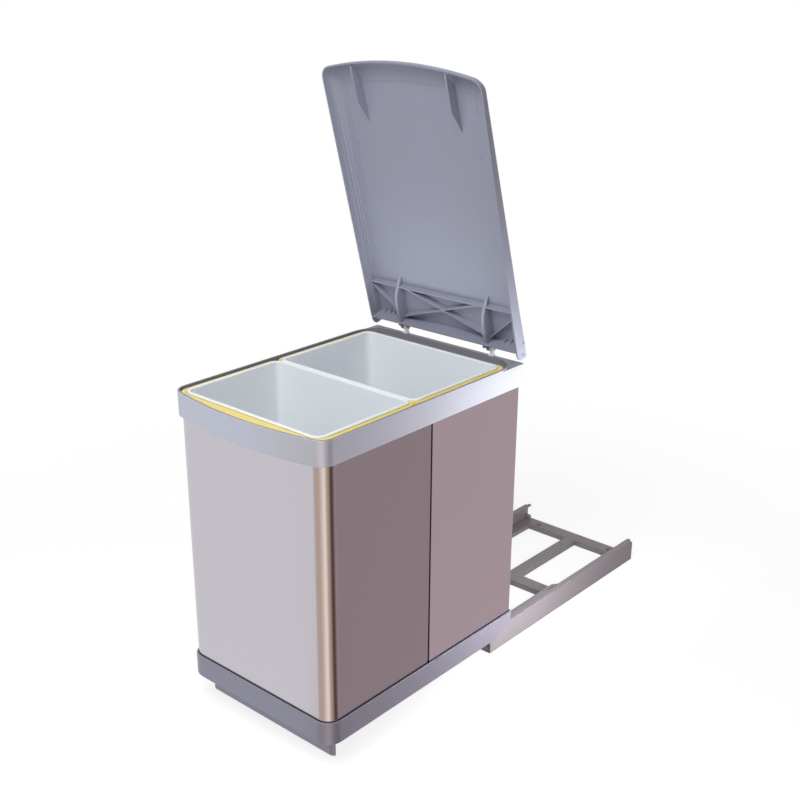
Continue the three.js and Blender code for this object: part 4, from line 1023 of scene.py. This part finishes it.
def floor_white(shade):
    """A pale floor: white but for the bin's shadow, with the room's tone where metal mirrors it."""
    material = bpy.data.materials.new("studio_floor_white")
    material.use_nodes = True
    tree = material.node_tree
    tree.nodes.clear()
    out = add_node(tree, "ShaderNodeOutputMaterial")
    from_corner = add_node(tree, "ShaderNodeMapping")
    from_corner.inputs["Location"].default_value = (
        CORNER_REACH - SHELL_BOX[1][0],
        -CORNER_REACH - SHELL_BOX[0][1],
        0.0,
    )
    place = add_node(tree, "ShaderNodeTexCoord")
    tree.links.new(place.outputs["Object"], from_corner.inputs["Vector"])
    room = add_node(tree, "ShaderNodeGroup", node_tree=group_for("Room tone", room_tone_group))
    tree.links.new(from_corner.outputs["Vector"], room.inputs["Vector"])
    mirrored = add_node(tree, "ShaderNodeEmission")
    tree.links.new(room.outputs["Color"], mirrored.inputs["Color"])
    distance = add_node(tree, "ShaderNodeVectorMath", operation="LENGTH")
    tree.links.new(place.outputs["Object"], distance.inputs[0])
    near = ramped(tree, distance.outputs["Value"], SHADE_NEAR, SHADE_FAR, 1.0, 0.0)
    lit_share = maths(tree, "MULTIPLY", near, shade)
    glow = add_node(tree, "ShaderNodeEmission")
    level = maths(tree, "MULTIPLY_ADD", lit_share, GLOW_DROP, 1.0)
    tree.links.new(level, glow.inputs["Strength"])
    soft = add_node(tree, "ShaderNodeBsdfDiffuse")
    tree.links.new(lit_share, soft.inputs["Color"])
    white = add_node(tree, "ShaderNodeAddShader")
    tree.links.new(glow.outputs[0], white.inputs[0])
    tree.links.new(soft.outputs[0], white.inputs[1])
    pale = add_node(tree, "ShaderNodeBsdfDiffuse")
    pale.inputs["Color"].default_value = FLOOR_PALE
    path, clear = clear_rays(tree)
    bounced = add_node(tree, "ShaderNodeMixShader")
    tree.links.new(path.outputs["Is Glossy Ray"], bounced.inputs[0])
    tree.links.new(pale.outputs[0], bounced.inputs[1])
    tree.links.new(mirrored.outputs[0], bounced.inputs[2])
    shown = add_node(tree, "ShaderNodeMixShader")
    tree.links.new(clear, shown.inputs[0])
    tree.links.new(bounced.outputs[0], shown.inputs[1])
    tree.links.new(white.outputs[0], shown.inputs[2])
    tree.links.new(shown.outputs[0], out.inputs["Surface"])
    return material


def white_world(strength):
    world = bpy.data.worlds.new("studio")
    bpy.context.scene.world = world
    world.use_nodes = True
    tree = world.node_tree
    back = tree.nodes["Background"]
    place = add_node(tree, "ShaderNodeTexCoord")
    tone, seen = seen_tone(tree, place.outputs["Generated"])
    lit = add_node(tree, "ShaderNodeMix", data_type="RGBA")
    tree.links.new(seen, lit.inputs["Factor"])
    lit.inputs["A"].default_value = (strength, strength, strength, 1.0)
    tree.links.new(tone, lit.inputs["B"])
    tree.links.new(lit.outputs["Result"], back.inputs["Color"])


class WASTEBIN_OT_studio(bpy.types.Operator):
    """The floor, the soft lights and the camera"""

    bl_idname = "waste_bin.studio"
    bl_label = "Studio"

    def execute(self, context):
        scene = context.scene
        bpy.ops.object.select_all(action="DESELECT")
        bpy.ops.mesh.primitive_plane_add(size=FLOOR_SIZE, location=(0.0, 0.0, -FLOOR_BELOW))
        floor = context.object
        floor.name = "studio_floor"
        floor.data.materials.append(floor_white(FLOOR_SHADE))
        white_world(studio().sky)
        for name in LAMPS:
            soft_light(name, getattr(studio(), name))
        bpy.ops.object.camera_add(location=CAMERA_PLACE)
        camera = context.object
        camera.name = "photo_camera"
        turn = (
            Matrix.Rotation(CAMERA_YAW, 4, "Z")
            @ Matrix.Rotation(math.pi / 2 - CAMERA_PITCH, 4, "X")
            @ Matrix.Rotation(CAMERA_ROLL, 4, "Z")
        )
        camera.rotation_euler = turn.to_euler()
        camera.data.lens = CAMERA_LENS
        camera.data.sensor_width = 36.0
        camera.data.shift_y = CAMERA_RISE
        camera.data.clip_end = 50.0
        scene.camera = camera
        scene.view_settings.view_transform = "Standard"
        return {"FINISHED"}


PIECE_OPERATORS = (
    WASTEBIN_OT_steel_shell,
    WASTEBIN_OT_base_tray,
    WASTEBIN_OT_top_collar,
    WASTEBIN_OT_lid,
    WASTEBIN_OT_hinges,
    WASTEBIN_OT_buckets,
    WASTEBIN_OT_floor_frame,
    WASTEBIN_OT_runners,
    WASTEBIN_OT_studio,
)


class WASTEBIN_PT_panel(bpy.types.Panel):
    """Lists the bin's settings and pieces"""

    bl_label = "Waste bin"
    bl_idname = "WASTEBIN_PT_panel"
    bl_space_type = "VIEW_3D"
    bl_region_type = "UI"
    bl_category = "Waste bin"

    def draw(self, context):
        column = self.layout.column(align=True)
        for settings in (colours(), sizes(), studio()):
            for name in settings.__annotations__:
                column.prop(settings, name)
        for operator in PIECE_OPERATORS:
            column.operator(operator.bl_idname)


CLASSES = (WasteBinColours, WasteBinSizes, WasteBinStudio, *PIECE_OPERATORS, WASTEBIN_PT_panel)


def register():
    for cls in CLASSES:
        bpy.utils.register_class(cls)
    scene = bpy.types.Scene
    scene.waste_bin_colours = bpy.props.PointerProperty(type=WasteBinColours)
    scene.waste_bin_sizes = bpy.props.PointerProperty(type=WasteBinSizes)
    scene.waste_bin_studio = bpy.props.PointerProperty(type=WasteBinStudio)


def unregister():
    scene = bpy.types.Scene
    del scene.waste_bin_studio
    del scene.waste_bin_sizes
    del scene.waste_bin_colours
    for cls in reversed(CLASSES):
        bpy.utils.unregister_class(cls)


def main():
    register()
    for operator in PIECE_OPERATORS:
        group, name = operator.bl_idname.split(".")
        getattr(getattr(bpy.ops, group), name)()


if __name__ == "__main__":
    main()
